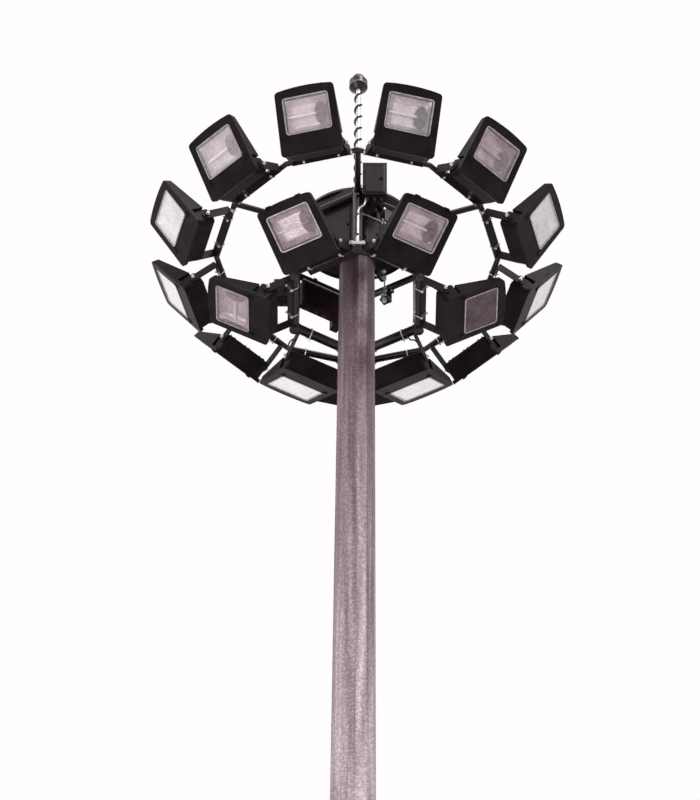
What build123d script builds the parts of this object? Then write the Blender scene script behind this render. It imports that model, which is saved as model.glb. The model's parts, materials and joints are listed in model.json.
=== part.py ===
from build123d import *
import os
from math import cos, radians, sin

# Stadium floodlight pylon: a tapered twelve-sided mast on a bolted flange, with a rope head,
# a hexagonal lamp carriage, a twelve-sided lamp ring and eighteen tilting floodlights.
# Millimetres, +Z up. The origin is the centre of the base flange's underside.

os.makedirs("parts", exist_ok=True)

# ---------------------------------------------------------------- driving dimensions
# Mast
MAST_HEIGHT = 30000.0
MAST_SIDES = 12
MAST_TURN = 5.0
MAST_FOOT_ACROSS = 470.0
MAST_TOP_ACROSS = 286.0
SHAFT_WALL = 8.0
LOWER_JOINT = 10400.0
UPPER_JOINT = 20400.0
SHAFT_LAP = 700.0
LAP_GAP = 0.3
# Base flange
FLANGE_RADIUS = 420.0
FLANGE_THICKNESS = 45.0
ANCHOR_CIRCLE_RADIUS = 345.0
ANCHOR_COUNT = 12
ANCHOR_HOLE_RADIUS = 20.0
GUSSET_HEIGHT = 260.0
GUSSET_THICKNESS = 16.0
GUSSET_NOSE = 30.0
GUSSET_SETBACK = 20.0
GUSSET_GAP = 0.3
# Service door near the foot
DOOR_AZIMUTH = 180.0 / MAST_SIDES + MAST_TURN
DOOR_WIDTH = 100.0
DOOR_HEIGHT = 620.0
DOOR_SILL = 700.0
DOOR_THICKNESS = 6.0
DOOR_FRAME_BORDER = 26.0
DOOR_FRAME_PROUD = 14.0
DOOR_GAP = 1.0
# Mast head
HEAD_PLATE_THICKNESS = 20.0
HEAD_PLATE_OVERHANG = 12.0
HEAD_POST_RADIUS = 55.0
COVER_INSIDE_CAGE = 90.0
COVER_RISE = 100.0
COVER_FLAT_RADIUS = 110.0
COVER_SKIN = 4.0
COVER_LIP = 24.0
COVER_ABOVE_TOP = 420.0
# Rope sheaves
SHEAVE_AZIMUTHS = (30.0, 150.0, 270.0)
ROPE_RADIUS = 6.0
ROPE_BEND_RADIUS = 75.0
ROPE_BORE_CLEARANCE = 6.0
ROPE_BORE_RADIUS = 90.0
ROPE_TAIL = 1500.0
SHEAVE_RIM = 10.0
SHEAVE_RIM_THICKNESS = 6.0
SHEAVE_WIDTH = 28.0
SHEAVE_PIN_RADIUS = 12.0
SHEAVE_PIN_GAP = 0.3
SHEAVE_PIN_END = 6.0
SHEAVE_DROP = 105.0
CHEEK_THICKNESS = 8.0
CHEEK_GAP = 1.0
CHEEK_NOSE_RADIUS = 38.0
CHEEK_ROOT_WIDTH = 50.0
CHEEK_ROOT_HEIGHT = 200.0
CHEEK_ROOT_DROP = 60.0
# Finial rod and obstruction beacon
ROD_RADIUS = 21.0
ROD_LENGTH = 1850.0
ROD_FOOT_RADIUS = 70.0
ROD_FOOT_THICKNESS = 14.0
ROD_SOCKET_RADIUS = 34.0
BEACON_RADIUS = 82.0
BEACON_HEIGHT = 85.0
BEACON_NECK = 40.0
BEACON_SHOULDER = 15.0
BEACON_SEAT = 6.0
LENS_RADIUS = 57.0
LENS_HEIGHT = 82.0
# Carriage
CAGE_RADIUS = 610.0
CAGE_HEIGHT = 665.0
CAGE_POST_RADIUS = 42.0
CAGE_POST_STUB = 15.0
UPPER_BAR_RADIUS = 30.0
LOWER_BAR_RADIUS = 35.0
RING_ABOVE_TOP = 100.0
UPPER_ABOVE_RING = 130.0
RING_RADIUS = 1200.0
RING_SIDES = 12
RING_BAR_RADIUS = 23.0
ARM_RADIUS = 26.0
# Rope lugs under the upper bars
LUG_THICKNESS = 14.0
LUG_WIDTH = 80.0
LUG_HEAD_WIDTH = 124.0
LUG_HEAD_DROP = 80.0
LUG_DROP = 190.0
ROPE_INSIDE_BAR = 22.0
ROPE_EDGE = 18.0
# Boxes on the carriage
CABINET_AZIMUTH = -30.0
CABINET_SIZE = (500.0, 150.0, 720.0)
CABINET_BELOW_LIP = 6.0
FUSE_BOX_AZIMUTH = 210.0
FUSE_BOX_SIZE = (500.0, 80.0, 285.0)
FUSE_BOX_DROP = 70.0
FUSE_BOX_OUTSIDE = 70.0
SOCKET_SIZE = (70.0, 60.0, 130.0)
SOCKET_SHIFT = -87.0
SWITCH_BOX_AZIMUTH = 30.0
SWITCH_BOX_SIZE = (170.0, 80.0, 355.0)
SWITCH_BOX_SHIFT = -131.0
SWITCH_BOX_DROP = 195.0
SPLICE_BOX_AZIMUTH = 270.0
SPLICE_BOX_SIZE = (90.0, 140.0, 255.0)
SPLICE_BOX_DROP = 110.0
STRAP_WIDTH = 34.0
STRAP_THICKNESS = 6.0
STRAP_ABOVE_BAR = 20.0
BOX_BEVEL = 4.0
BOX_SEAT_GAP = 0.3
FEED_BOX_SIZE = (205.0, 95.0, 410.0)
FEED_BOX_BACK = 625.0
FEED_BOX_TOP = 280.0
FEED_BRACKET_WIDTH = 120.0
FEED_BRACKET_REACH = 140.0
FEED_BRACKET_THICKNESS = 8.0
# Floodlights
OUTER_AZIMUTHS = tuple(15.0 + 30.0 * step for step in range(12))
INNER_AZIMUTHS = tuple(30.0 + 60.0 * step for step in range(6))
OUTER_BEAM_DROP = 34.0
INNER_BEAM_DROP = 60.0
GLASS_WIDTH = 376.0
GLASS_HEIGHT = 305.0
GLASS_CORNER = 26.0
GLASS_THICKNESS = 5.0
GLASS_RECESS = 2.0
GLASS_GAP = 0.3
GLASS_LIP = 8.0
LIP_THICKNESS = 4.0
LIP_CORNER = 20.0
FRAME_TOP_WIDTH = 508.0
FRAME_FOOT_WIDTH = 530.0
FRAME_ABOVE_GLASS = 92.0
FRAME_BELOW_GLASS = 192.0
FRAME_BOW = 22.0
FRAME_CORNER = 34.0
FRAME_DEPTH = 34.0
FRAME_DRAFT = 4.0
SEAM_BELOW_GLASS = 26.0
SEAM_WIDTH = 4.0
SEAM_DEPTH = 3.0
HOUSING_WALL = 5.0
SHELL_STEP = 6.0
SHELL_TAPER = 14.0
SHELL_TOP_DEPTH = 46.0
SHELL_DEPTH = 150.0
GEAR_BOX_WIDTH = 478.0
GEAR_BOX_HEIGHT = 165.0
GEAR_BOX_DEPTH = 190.0
GEAR_BOX_CORNER = 40.0
GEAR_BOX_STEP = 6.0
GEAR_BOX_BEVEL = 10.0
# Stirrups and tilt pivots
STIRRUP_REACH = 258.0
STIRRUP_DROP = 33.0
STIRRUP_HALF_SPREAD = 248.0
STIRRUP_THICKNESS = 8.0
STIRRUP_WIDTH = 80.0
STIRRUP_GAP = 0.3
BOSS_RADIUS = 27.0
BOSS_GAP = 0.5
PIVOT_BELOW_GLASS_CENTRE = 270.0
PIVOT_BEHIND_GLASS = 140.0
PIVOT_PIN_RADIUS = 8.0
PIVOT_PIN_CLEARANCE = 0.3
PIVOT_HEAD_RADIUS = 15.0
PIVOT_HEAD_THICKNESS = 10.0

# ---------------------------------------------------------------- derived sizes
LAP_STEP = 2 * (SHAFT_WALL + LAP_GAP)
MAST_TAPER = (MAST_FOOT_ACROSS + 2 * LAP_STEP - MAST_TOP_ACROSS) / MAST_HEIGHT
RING_LEVEL = MAST_HEIGHT + RING_ABOVE_TOP
UPPER_LEVEL = RING_LEVEL + UPPER_ABOVE_RING
LOWER_LEVEL = UPPER_LEVEL - CAGE_HEIGHT
COVER_LEVEL = MAST_HEIGHT + COVER_ABOVE_TOP
COVER_TOP = COVER_LEVEL + COVER_RISE
HEAD_PLATE_TOP = MAST_HEIGHT + HEAD_PLATE_THICKNESS
COVER_RADIUS = CAGE_RADIUS - COVER_INSIDE_CAGE
SHEAVE_LEVEL = COVER_LEVEL - SHEAVE_DROP
CAGE_APOTHEM = CAGE_RADIUS * cos(radians(30))
BAR_INSIDE = CAGE_APOTHEM - UPPER_BAR_RADIUS - BOX_SEAT_GAP
ROPE_DROP_RADIUS = CAGE_APOTHEM - UPPER_BAR_RADIUS - ROPE_INSIDE_BAR
OUTER_SHEAVE_RADIUS = ROPE_DROP_RADIUS - ROPE_BEND_RADIUS
INNER_SHEAVE_RADIUS = ROPE_BORE_RADIUS + ROPE_BEND_RADIUS
RING_APOTHEM = RING_RADIUS * cos(radians(180 / RING_SIDES))
POST_FOOT = LOWER_LEVEL - LOWER_BAR_RADIUS - CAGE_POST_STUB
POST_TOP = UPPER_LEVEL + UPPER_BAR_RADIUS + CAGE_POST_STUB
LUG_FOOT = UPPER_LEVEL - LUG_DROP
LUG_SHELF_TOP = LUG_FOOT + LUG_THICKNESS
ROD_TOP = COVER_TOP + ROD_FOOT_THICKNESS + ROD_LENGTH


def polar_point(azimuth, distance, level):
    """Point at an azimuth counted from the -Y side, towards +X."""
    return Vector(distance * sin(radians(azimuth)), -distance * cos(radians(azimuth)), level)


def radial_plane(azimuth, distance, level, drop):
    """Plane facing outwards and down by drop degrees, with X along the tangent."""
    tangent = Vector(cos(radians(azimuth)), sin(radians(azimuth)), 0)
    outward = polar_point(azimuth, cos(radians(drop)), -sin(radians(drop)))
    return Plane(origin=polar_point(azimuth, distance, level), x_dir=tangent, z_dir=outward)


def shaft_outline(level, across):
    """Twelve-sided outline of the mast at a level."""
    with BuildSketch(Plane.XY.offset(level)) as outline:
        RegularPolygon(
            radius=across / 2, side_count=MAST_SIDES, major_radius=False, rotation=MAST_TURN
        )
    return outline.sketch


def shaft_across(level, laps):
    """Width across flats of the shaft after a number of slip joints."""
    return MAST_FOOT_ACROSS + laps * LAP_STEP - MAST_TAPER * level


def shaft_section(start, end, laps):
    """Hollow tapered length of the mast."""
    with BuildPart() as section:
        loft([shaft_outline(z, shaft_across(z, laps)) for z in (start, end)])
        loft(
            [shaft_outline(z, shaft_across(z, laps) - 2 * SHAFT_WALL) for z in (start, end)],
            mode=Mode.SUBTRACT,
        )
    return section.part


def round_bar(start, end, radius):
    """Straight round bar between two points."""
    axis = Plane(origin=start, z_dir=end - start)
    with BuildPart() as bar:
        with BuildSketch(axis):
            Circle(radius)
        extrude(amount=(end - start).length)
    return bar.part


def save(part, name):
    part.label = name
    export_step(part, f"parts/{name}.step")


# ---------------------------------------------------------------- base flange
foot_across = shaft_across(FLANGE_THICKNESS, 0)
with BuildPart() as base_flange:
    with BuildSketch():
        Circle(FLANGE_RADIUS)
        with PolarLocations(ANCHOR_CIRCLE_RADIUS, ANCHOR_COUNT, start_angle=MAST_TURN):
            Circle(ANCHOR_HOLE_RADIUS, mode=Mode.SUBTRACT)
    extrude(amount=FLANGE_THICKNESS)
    gusset_foot = foot_across / 2 + GUSSET_GAP
    gusset_toe = FLANGE_RADIUS - GUSSET_SETBACK
    with BuildSketch(Plane.XZ) as gusset_profile:
        with BuildLine():
            Polyline(
                (gusset_foot, FLANGE_THICKNESS),
                (gusset_toe, FLANGE_THICKNESS),
                (gusset_toe, FLANGE_THICKNESS + GUSSET_NOSE),
                (gusset_foot + GUSSET_NOSE, FLANGE_THICKNESS + GUSSET_HEIGHT),
                (gusset_foot, FLANGE_THICKNESS + GUSSET_HEIGHT),
                close=True,
            )
        make_face()
    gusset = extrude(amount=GUSSET_THICKNESS / 2, both=True, mode=Mode.PRIVATE)
    with PolarLocations(0, ANCHOR_COUNT, start_angle=180 / ANCHOR_COUNT + MAST_TURN):
        add(gusset)
save(base_flange.part, "base_flange")

# ---------------------------------------------------------------- mast shaft
door_level = DOOR_SILL + DOOR_HEIGHT / 2
door_seat = shaft_across(door_level, 0) / 2
door_plane = radial_plane(DOOR_AZIMUTH, door_seat, door_level, 0)
door_width = DOOR_WIDTH + 2 * DOOR_GAP
door_height = DOOR_HEIGHT + 2 * DOOR_GAP
with BuildPart() as mast_lower:
    add(shaft_section(FLANGE_THICKNESS, LOWER_JOINT + SHAFT_LAP, 0))
    with BuildSketch(door_plane):
        SlotOverall(door_height, door_width, rotation=90)
    extrude(amount=DOOR_WIDTH / 2, both=True, mode=Mode.SUBTRACT)
save(mast_lower.part, "mast_lower")

with BuildPart() as mast_middle:
    add(shaft_section(LOWER_JOINT, UPPER_JOINT + SHAFT_LAP, 1))
save(mast_middle.part, "mast_middle")

with BuildPart() as mast_upper:
    add(shaft_section(UPPER_JOINT, MAST_HEIGHT, 2))
save(mast_upper.part, "mast_upper")

# ---------------------------------------------------------------- service door
with BuildPart() as door_frame:
    with BuildSketch(door_plane.offset(-DOOR_FRAME_PROUD)):
        SlotOverall(
            door_height + 2 * DOOR_FRAME_BORDER, door_width + 2 * DOOR_FRAME_BORDER, rotation=90
        )
        SlotOverall(door_height, door_width, rotation=90, mode=Mode.SUBTRACT)
    extrude(amount=2 * DOOR_FRAME_PROUD)
    loft(
        [shaft_outline(z, shaft_across(z, 0)) for z in (FLANGE_THICKNESS, LOWER_JOINT)],
        mode=Mode.SUBTRACT,
    )
save(door_frame.part, "door_frame")

with BuildPart() as service_door:
    with BuildSketch(door_plane.offset(DOOR_FRAME_PROUD - DOOR_THICKNESS)):
        SlotOverall(DOOR_HEIGHT, DOOR_WIDTH, rotation=90)
    extrude(amount=DOOR_THICKNESS)
save(service_door.part, "service_door")

# ---------------------------------------------------------------- mast head
top_across = shaft_across(MAST_HEIGHT, 2)
with BuildPart() as head_frame:
    with BuildSketch(Plane.XY.offset(MAST_HEIGHT)):
        add(shaft_outline(0, top_across + 2 * HEAD_PLATE_OVERHANG))
        for azimuth in SHEAVE_AZIMUTHS:
            with Locations(polar_point(azimuth, ROPE_BORE_RADIUS, 0)):
                Circle(ROPE_RADIUS + ROPE_BORE_CLEARANCE, mode=Mode.SUBTRACT)
    extrude(amount=HEAD_PLATE_THICKNESS)
    with BuildSketch(Plane.XY.offset(HEAD_PLATE_TOP)):
        Circle(HEAD_POST_RADIUS)
    extrude(amount=COVER_TOP - COVER_SKIN - HEAD_PLATE_TOP)
    for azimuth in SHEAVE_AZIMUTHS:
        for side in (-1, 1):
            inner_face = SHEAVE_WIDTH / 2 + CHEEK_GAP
            shift = side * (inner_face + CHEEK_THICKNESS / 2)
            tangent = Vector(cos(radians(azimuth)), sin(radians(azimuth)), 0)
            cheek_plane = Plane(
                origin=tangent * shift + Vector(0, 0, SHEAVE_LEVEL),
                x_dir=polar_point(azimuth, 1, 0),
                z_dir=-tangent,
            )
            with BuildSketch(cheek_plane):
                with Locations((OUTER_SHEAVE_RADIUS, 0)):
                    Circle(CHEEK_NOSE_RADIUS)
                with Locations((HEAD_POST_RADIUS, -CHEEK_ROOT_DROP)):
                    Rectangle(CHEEK_ROOT_WIDTH, CHEEK_ROOT_HEIGHT)
                make_hull()
                with Locations((OUTER_SHEAVE_RADIUS, 0), (INNER_SHEAVE_RADIUS, 0)):
                    Circle(SHEAVE_PIN_RADIUS + SHEAVE_PIN_GAP, mode=Mode.SUBTRACT)
            extrude(amount=CHEEK_THICKNESS / 2, both=True)
save(head_frame.part, "head_frame")

with BuildPart() as sheaves:
    for azimuth in SHEAVE_AZIMUTHS:
        for distance in (INNER_SHEAVE_RADIUS, OUTER_SHEAVE_RADIUS):
            hub = polar_point(azimuth, distance, SHEAVE_LEVEL)
            axle = Plane(
                origin=hub,
                x_dir=polar_point(azimuth, 1, 0),
                z_dir=Vector(cos(radians(azimuth)), sin(radians(azimuth)), 0),
            )
            with BuildSketch(axle):
                Circle(ROPE_BEND_RADIUS - ROPE_RADIUS - LAP_GAP)
            extrude(amount=SHEAVE_WIDTH / 2, both=True)
            for side in (-1, 1):
                rim_middle = side * (SHEAVE_WIDTH - SHEAVE_RIM_THICKNESS) / 2
                with BuildSketch(axle.offset(rim_middle)):
                    Circle(ROPE_BEND_RADIUS + SHEAVE_RIM)
                extrude(amount=SHEAVE_RIM_THICKNESS / 2, both=True)
            with BuildSketch(axle):
                Circle(SHEAVE_PIN_RADIUS)
            extrude(amount=SHEAVE_WIDTH / 2 + CHEEK_THICKNESS + SHEAVE_PIN_END, both=True)
save(sheaves.part, "sheaves")

with BuildPart() as hoist_ropes:
    for azimuth in SHEAVE_AZIMUTHS:
        rope_top = SHEAVE_LEVEL + ROPE_BEND_RADIUS
        with BuildLine() as rope_path:
            FilletPolyline(
                polar_point(azimuth, ROPE_DROP_RADIUS, LUG_SHELF_TOP),
                polar_point(azimuth, ROPE_DROP_RADIUS, rope_top),
                polar_point(azimuth, ROPE_BORE_RADIUS, rope_top),
                polar_point(azimuth, ROPE_BORE_RADIUS, MAST_HEIGHT - ROPE_TAIL),
                radius=ROPE_BEND_RADIUS,
            )
        with BuildSketch(Plane(origin=rope_path.line @ 0, z_dir=rope_path.line % 0)):
            Circle(ROPE_RADIUS)
        sweep(path=rope_path.line)
save(hoist_ropes.part, "hoist_ropes")

with BuildPart() as head_cover:
    with BuildSketch(Plane.XZ):
        with BuildLine():
            Polyline(
                (0, COVER_TOP),
                (COVER_FLAT_RADIUS, COVER_TOP),
                (COVER_RADIUS, COVER_LEVEL + COVER_SKIN),
                (COVER_RADIUS, COVER_LEVEL - COVER_LIP),
                (COVER_RADIUS - COVER_SKIN, COVER_LEVEL - COVER_LIP),
                (COVER_RADIUS - COVER_SKIN, COVER_LEVEL),
                (COVER_FLAT_RADIUS, COVER_TOP - COVER_SKIN),
                (0, COVER_TOP - COVER_SKIN),
                close=True,
            )
        make_face()
    revolve(axis=Axis.Z)
save(head_cover.part, "head_cover")

# ---------------------------------------------------------------- rod and beacon
with BuildPart() as finial_rod:
    with BuildSketch(Plane.XY.offset(COVER_TOP)):
        Circle(ROD_FOOT_RADIUS)
    extrude(amount=ROD_FOOT_THICKNESS)
    with BuildSketch(Plane.XY.offset(COVER_TOP + ROD_FOOT_THICKNESS)):
        Circle(ROD_RADIUS)
    extrude(amount=ROD_LENGTH)
save(finial_rod.part, "finial_rod")

BEACON_TOP = ROD_TOP + BEACON_NECK + BEACON_HEIGHT
with BuildPart() as beacon_body:
    with BuildSketch(Plane.XZ):
        with BuildLine():
            Polyline(
                (0, ROD_TOP),
                (ROD_SOCKET_RADIUS, ROD_TOP),
                (BEACON_RADIUS, ROD_TOP + BEACON_NECK),
                (BEACON_RADIUS, BEACON_TOP - BEACON_SHOULDER),
                (LENS_RADIUS + BEACON_SEAT, BEACON_TOP),
                (0, BEACON_TOP),
                close=True,
            )
        make_face()
    revolve(axis=Axis.Z)
save(beacon_body.part, "beacon_body")

with BuildPart() as beacon_lens:
    with BuildSketch(Plane.XZ):
        with BuildLine():
            dome_foot = BEACON_TOP + LENS_HEIGHT - LENS_RADIUS
            Polyline((0, BEACON_TOP), (LENS_RADIUS, BEACON_TOP), (LENS_RADIUS, dome_foot))
            RadiusArc((LENS_RADIUS, dome_foot), (0, BEACON_TOP + LENS_HEIGHT), -LENS_RADIUS)
            Line((0, BEACON_TOP + LENS_HEIGHT), (0, BEACON_TOP))
        make_face()
    revolve(axis=Axis.Z)
save(beacon_lens.part, "beacon_lens")

# ---------------------------------------------------------------- carriage cage
with BuildPart() as cage_posts:
    with BuildSketch(Plane.XY.offset(POST_FOOT)):
        with PolarLocations(CAGE_RADIUS, 6, start_angle=30):
            Circle(CAGE_POST_RADIUS)
    extrude(amount=POST_TOP - POST_FOOT)
save(cage_posts.part, "cage_posts")


def hexagon_bars(level, radius):
    """Six bars from post to post at one level, coped round the posts."""
    with BuildPart() as bars:
        for azimuth in range(0, 360, 60):
            start = polar_point(azimuth, CAGE_RADIUS, level)
            end = polar_point(azimuth + 60, CAGE_RADIUS, level)
            add(round_bar(start, end, radius))
        add(cage_posts.part, mode=Mode.SUBTRACT)
    return bars.part


with BuildPart() as upper_hexagon:
    add(hexagon_bars(UPPER_LEVEL, UPPER_BAR_RADIUS))
save(upper_hexagon.part, "upper_hexagon")

with BuildPart() as lower_hexagon:
    add(hexagon_bars(LOWER_LEVEL, LOWER_BAR_RADIUS))
save(lower_hexagon.part, "lower_hexagon")

with BuildPart() as rope_lugs:
    for azimuth in SHEAVE_AZIMUTHS:
        lug_face = radial_plane(azimuth, CAGE_APOTHEM, LUG_FOOT, 0)
        with BuildSketch(lug_face):
            with Locations((0, LUG_DROP / 2)):
                Rectangle(LUG_WIDTH, LUG_DROP)
            with Locations((0, LUG_DROP - LUG_HEAD_DROP / 2)):
                Rectangle(LUG_HEAD_WIDTH, LUG_HEAD_DROP)
        extrude(amount=LUG_THICKNESS / 2, both=True)
        shelf_inner = ROPE_DROP_RADIUS - ROPE_EDGE
        shelf_length = CAGE_APOTHEM - shelf_inner
        shelf_middle = polar_point(azimuth, shelf_inner + shelf_length / 2, LUG_FOOT)
        with BuildSketch(Plane(origin=shelf_middle, x_dir=polar_point(azimuth, 1, 0))):
            Rectangle(shelf_length, LUG_WIDTH)
        extrude(amount=LUG_THICKNESS)
    add(upper_hexagon.part, mode=Mode.SUBTRACT)
save(rope_lugs.part, "rope_lugs")

# ---------------------------------------------------------------- lamp ring and arms
with BuildPart() as outer_ring_side:
    half_turn = radians(180 / RING_SIDES)
    half_side = RING_RADIUS * sin(half_turn) + 2 * RING_BAR_RADIUS
    with BuildSketch(Plane(origin=(RING_APOTHEM, 0, RING_LEVEL), z_dir=(0, 1, 0))):
        Circle(RING_BAR_RADIUS)
    extrude(amount=half_side, both=True)
    for side in (-1, 1):
        mitre = Plane(origin=(0, 0, 0), z_dir=(sin(half_turn), -side * cos(half_turn), 0))
        split(bisect_by=mitre, keep=Keep.TOP)
ring_side = outer_ring_side.part
with BuildPart() as outer_ring:
    with PolarLocations(0, RING_SIDES, start_angle=180 / RING_SIDES):
        add(ring_side)
save(outer_ring.part, "outer_ring")

with BuildPart() as radial_arms:
    for azimuth in range(0, 360, 60):
        start = polar_point(azimuth, CAGE_RADIUS, UPPER_LEVEL)
        end = polar_point(azimuth, RING_RADIUS, RING_LEVEL)
        add(round_bar(start, end, ARM_RADIUS))
    add(cage_posts.part, mode=Mode.SUBTRACT)
    add(upper_hexagon.part, mode=Mode.SUBTRACT)
    add(outer_ring.part, mode=Mode.SUBTRACT)
save(radial_arms.part, "radial_arms")


# ---------------------------------------------------------------- boxes on the carriage
def closed_box(azimuth, size, shift, outer_face, top_level):
    """Closed box facing outwards at an azimuth, shifted along the tangent."""
    width, depth, height = size
    back = radial_plane(azimuth, outer_face - depth, top_level - height / 2, 0)
    with BuildPart() as box:
        with BuildSketch(back):
            with Locations((shift, 0)):
                Rectangle(width, height)
        extrude(amount=depth)
        chamfer(box.edges().filter_by(Axis.Z), BOX_BEVEL)
    return box.part


def hanger_strap(azimuth, shift, foot_level):
    """Flat strap from a box up against the inside of the upper bar."""
    strap_top = UPPER_LEVEL + STRAP_ABOVE_BAR
    middle = (foot_level + strap_top) / 2
    with BuildPart() as strap:
        with BuildSketch(radial_plane(azimuth, BAR_INSIDE - STRAP_THICKNESS, middle, 0)):
            with Locations((shift, 0)):
                Rectangle(STRAP_WIDTH, strap_top - foot_level)
        extrude(amount=STRAP_THICKNESS)
    return strap.part


with BuildPart() as control_cabinet:
    cabinet_top = COVER_LEVEL - COVER_LIP - CABINET_BELOW_LIP
    add(closed_box(CABINET_AZIMUTH, CABINET_SIZE, 0, BAR_INSIDE, cabinet_top))
save(control_cabinet.part, "control_cabinet")

with BuildPart() as fuse_box:
    fuse_top = UPPER_LEVEL - FUSE_BOX_DROP
    fuse_outer = BAR_INSIDE + FUSE_BOX_OUTSIDE
    add(closed_box(FUSE_BOX_AZIMUTH, FUSE_BOX_SIZE, 0, fuse_outer, fuse_top))
    for shift in (-FUSE_BOX_SIZE[0] / 4, FUSE_BOX_SIZE[0] / 4):
        add(hanger_strap(FUSE_BOX_AZIMUTH, shift, fuse_top - STRAP_WIDTH))
    socket_outer = fuse_outer - (FUSE_BOX_SIZE[1] - SOCKET_SIZE[1]) / 2
    socket_top = fuse_top - FUSE_BOX_SIZE[2]
    add(closed_box(FUSE_BOX_AZIMUTH, SOCKET_SIZE, SOCKET_SHIFT, socket_outer, socket_top))
    splice_outer = CAGE_APOTHEM + CAGE_POST_RADIUS + BOX_SEAT_GAP + SPLICE_BOX_SIZE[1]
    splice_top = UPPER_LEVEL - SPLICE_BOX_DROP
    add(closed_box(SPLICE_BOX_AZIMUTH, SPLICE_BOX_SIZE, -CAGE_RADIUS / 2, splice_outer, splice_top))
save(fuse_box.part, "fuse_box")

with BuildPart() as feed_box:
    feed_width, feed_depth, feed_height = FEED_BOX_SIZE
    feed_middle = CAGE_POST_RADIUS + feed_width / 2
    with BuildSketch(Plane.XY.offset(UPPER_LEVEL + FEED_BOX_TOP - feed_height)):
        with Locations((feed_middle, -FEED_BOX_BACK - feed_depth / 2)):
            Rectangle(feed_width, feed_depth)
    extrude(amount=feed_height)
    with BuildSketch(Plane.XY.offset(UPPER_LEVEL + UPPER_BAR_RADIUS + BOX_SEAT_GAP)):
        with Locations((feed_middle, -FEED_BOX_BACK + FEED_BRACKET_REACH / 2)):
            Rectangle(FEED_BRACKET_WIDTH, FEED_BRACKET_REACH)
    extrude(amount=FEED_BRACKET_THICKNESS)
    switch_top = UPPER_LEVEL - SWITCH_BOX_DROP
    add(
        closed_box(
            SWITCH_BOX_AZIMUTH, SWITCH_BOX_SIZE, SWITCH_BOX_SHIFT, BAR_INSIDE, switch_top
        )
    )
    for side in (-1, 1):
        shift = SWITCH_BOX_SHIFT + side * (SWITCH_BOX_SIZE[0] / 2 - STRAP_WIDTH)
        add(hanger_strap(SWITCH_BOX_AZIMUTH, shift, switch_top - STRAP_WIDTH))
save(feed_box.part, "feed_box")

# ---------------------------------------------------------------- floodlight
FRAME_TOP = GLASS_HEIGHT / 2 + FRAME_ABOVE_GLASS
FRAME_FOOT = -GLASS_HEIGHT / 2 - FRAME_BELOW_GLASS
GEAR_BOX_TOP = FRAME_FOOT + GEAR_BOX_STEP + GEAR_BOX_HEIGHT
GLASS_BACK = -GLASS_RECESS - GLASS_THICKNESS
FACE_BACK = GLASS_BACK - LIP_THICKNESS


def frame_outline(inset, level):
    """Front outline of the lamp, narrower at the top, with a bowed top edge."""
    top = FRAME_TOP - inset
    half_top = FRAME_TOP_WIDTH / 2 - inset
    half_foot = FRAME_FOOT_WIDTH / 2 - inset
    with BuildSketch(Plane.XY.offset(level)) as outline:
        with BuildLine():
            ThreePointArc((-half_top, top - FRAME_BOW), (0, top), (half_top, top - FRAME_BOW))
            Polyline(
                (half_top, top - FRAME_BOW),
                (half_foot, FRAME_FOOT + inset),
                (-half_foot, FRAME_FOOT + inset),
                (-half_top, top - FRAME_BOW),
            )
        make_face()
        fillet(outline.vertices(), FRAME_CORNER)
    return outline.sketch


def window(width, height, level, corner):
    """Rounded rectangle centred on the glass at a depth behind the front."""
    with BuildSketch(Plane.XY.offset(level)) as opening:
        RectangleRounded(width, height, corner)
    return opening.sketch


def wedge_shell(inset):
    """Body behind the glass, thin at the top and deep at the gear box."""
    shell_foot = GEAR_BOX_TOP - HOUSING_WALL + inset
    with BuildPart() as shell:
        loft(
            [
                frame_outline(SHELL_STEP + inset, -FRAME_DEPTH),
                frame_outline(SHELL_TAPER + inset, inset - SHELL_DEPTH),
            ],
            ruled=True,
        )
        with BuildSketch(Plane.YZ):
            with BuildLine():
                Polyline(
                    (FRAME_TOP, inset - SHELL_TOP_DEPTH),
                    (shell_foot, inset - SHELL_DEPTH),
                    (shell_foot, -FRAME_DEPTH),
                    (FRAME_FOOT, -FRAME_DEPTH),
                    (FRAME_FOOT, -GEAR_BOX_DEPTH),
                    (FRAME_TOP, -GEAR_BOX_DEPTH),
                    close=True,
                )
            make_face()
        extrude(amount=FRAME_FOOT_WIDTH, both=True, mode=Mode.SUBTRACT)
    return shell.part


def gear_box(inset):
    """Rounded box with bevelled back edges behind the foot of the lamp."""
    with BuildPart() as box:
        with BuildSketch(Plane.XY.offset(inset - GEAR_BOX_DEPTH)):
            with Locations((0, GEAR_BOX_TOP - GEAR_BOX_HEIGHT / 2)):
                RectangleRounded(
                    GEAR_BOX_WIDTH - 2 * inset, GEAR_BOX_HEIGHT - 2 * inset, GEAR_BOX_CORNER - inset
                )
        extrude(amount=GEAR_BOX_DEPTH - inset - FRAME_DEPTH)
        chamfer(box.faces().sort_by(Axis.Z)[0].edges(), GEAR_BOX_BEVEL)
    return box.part


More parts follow.
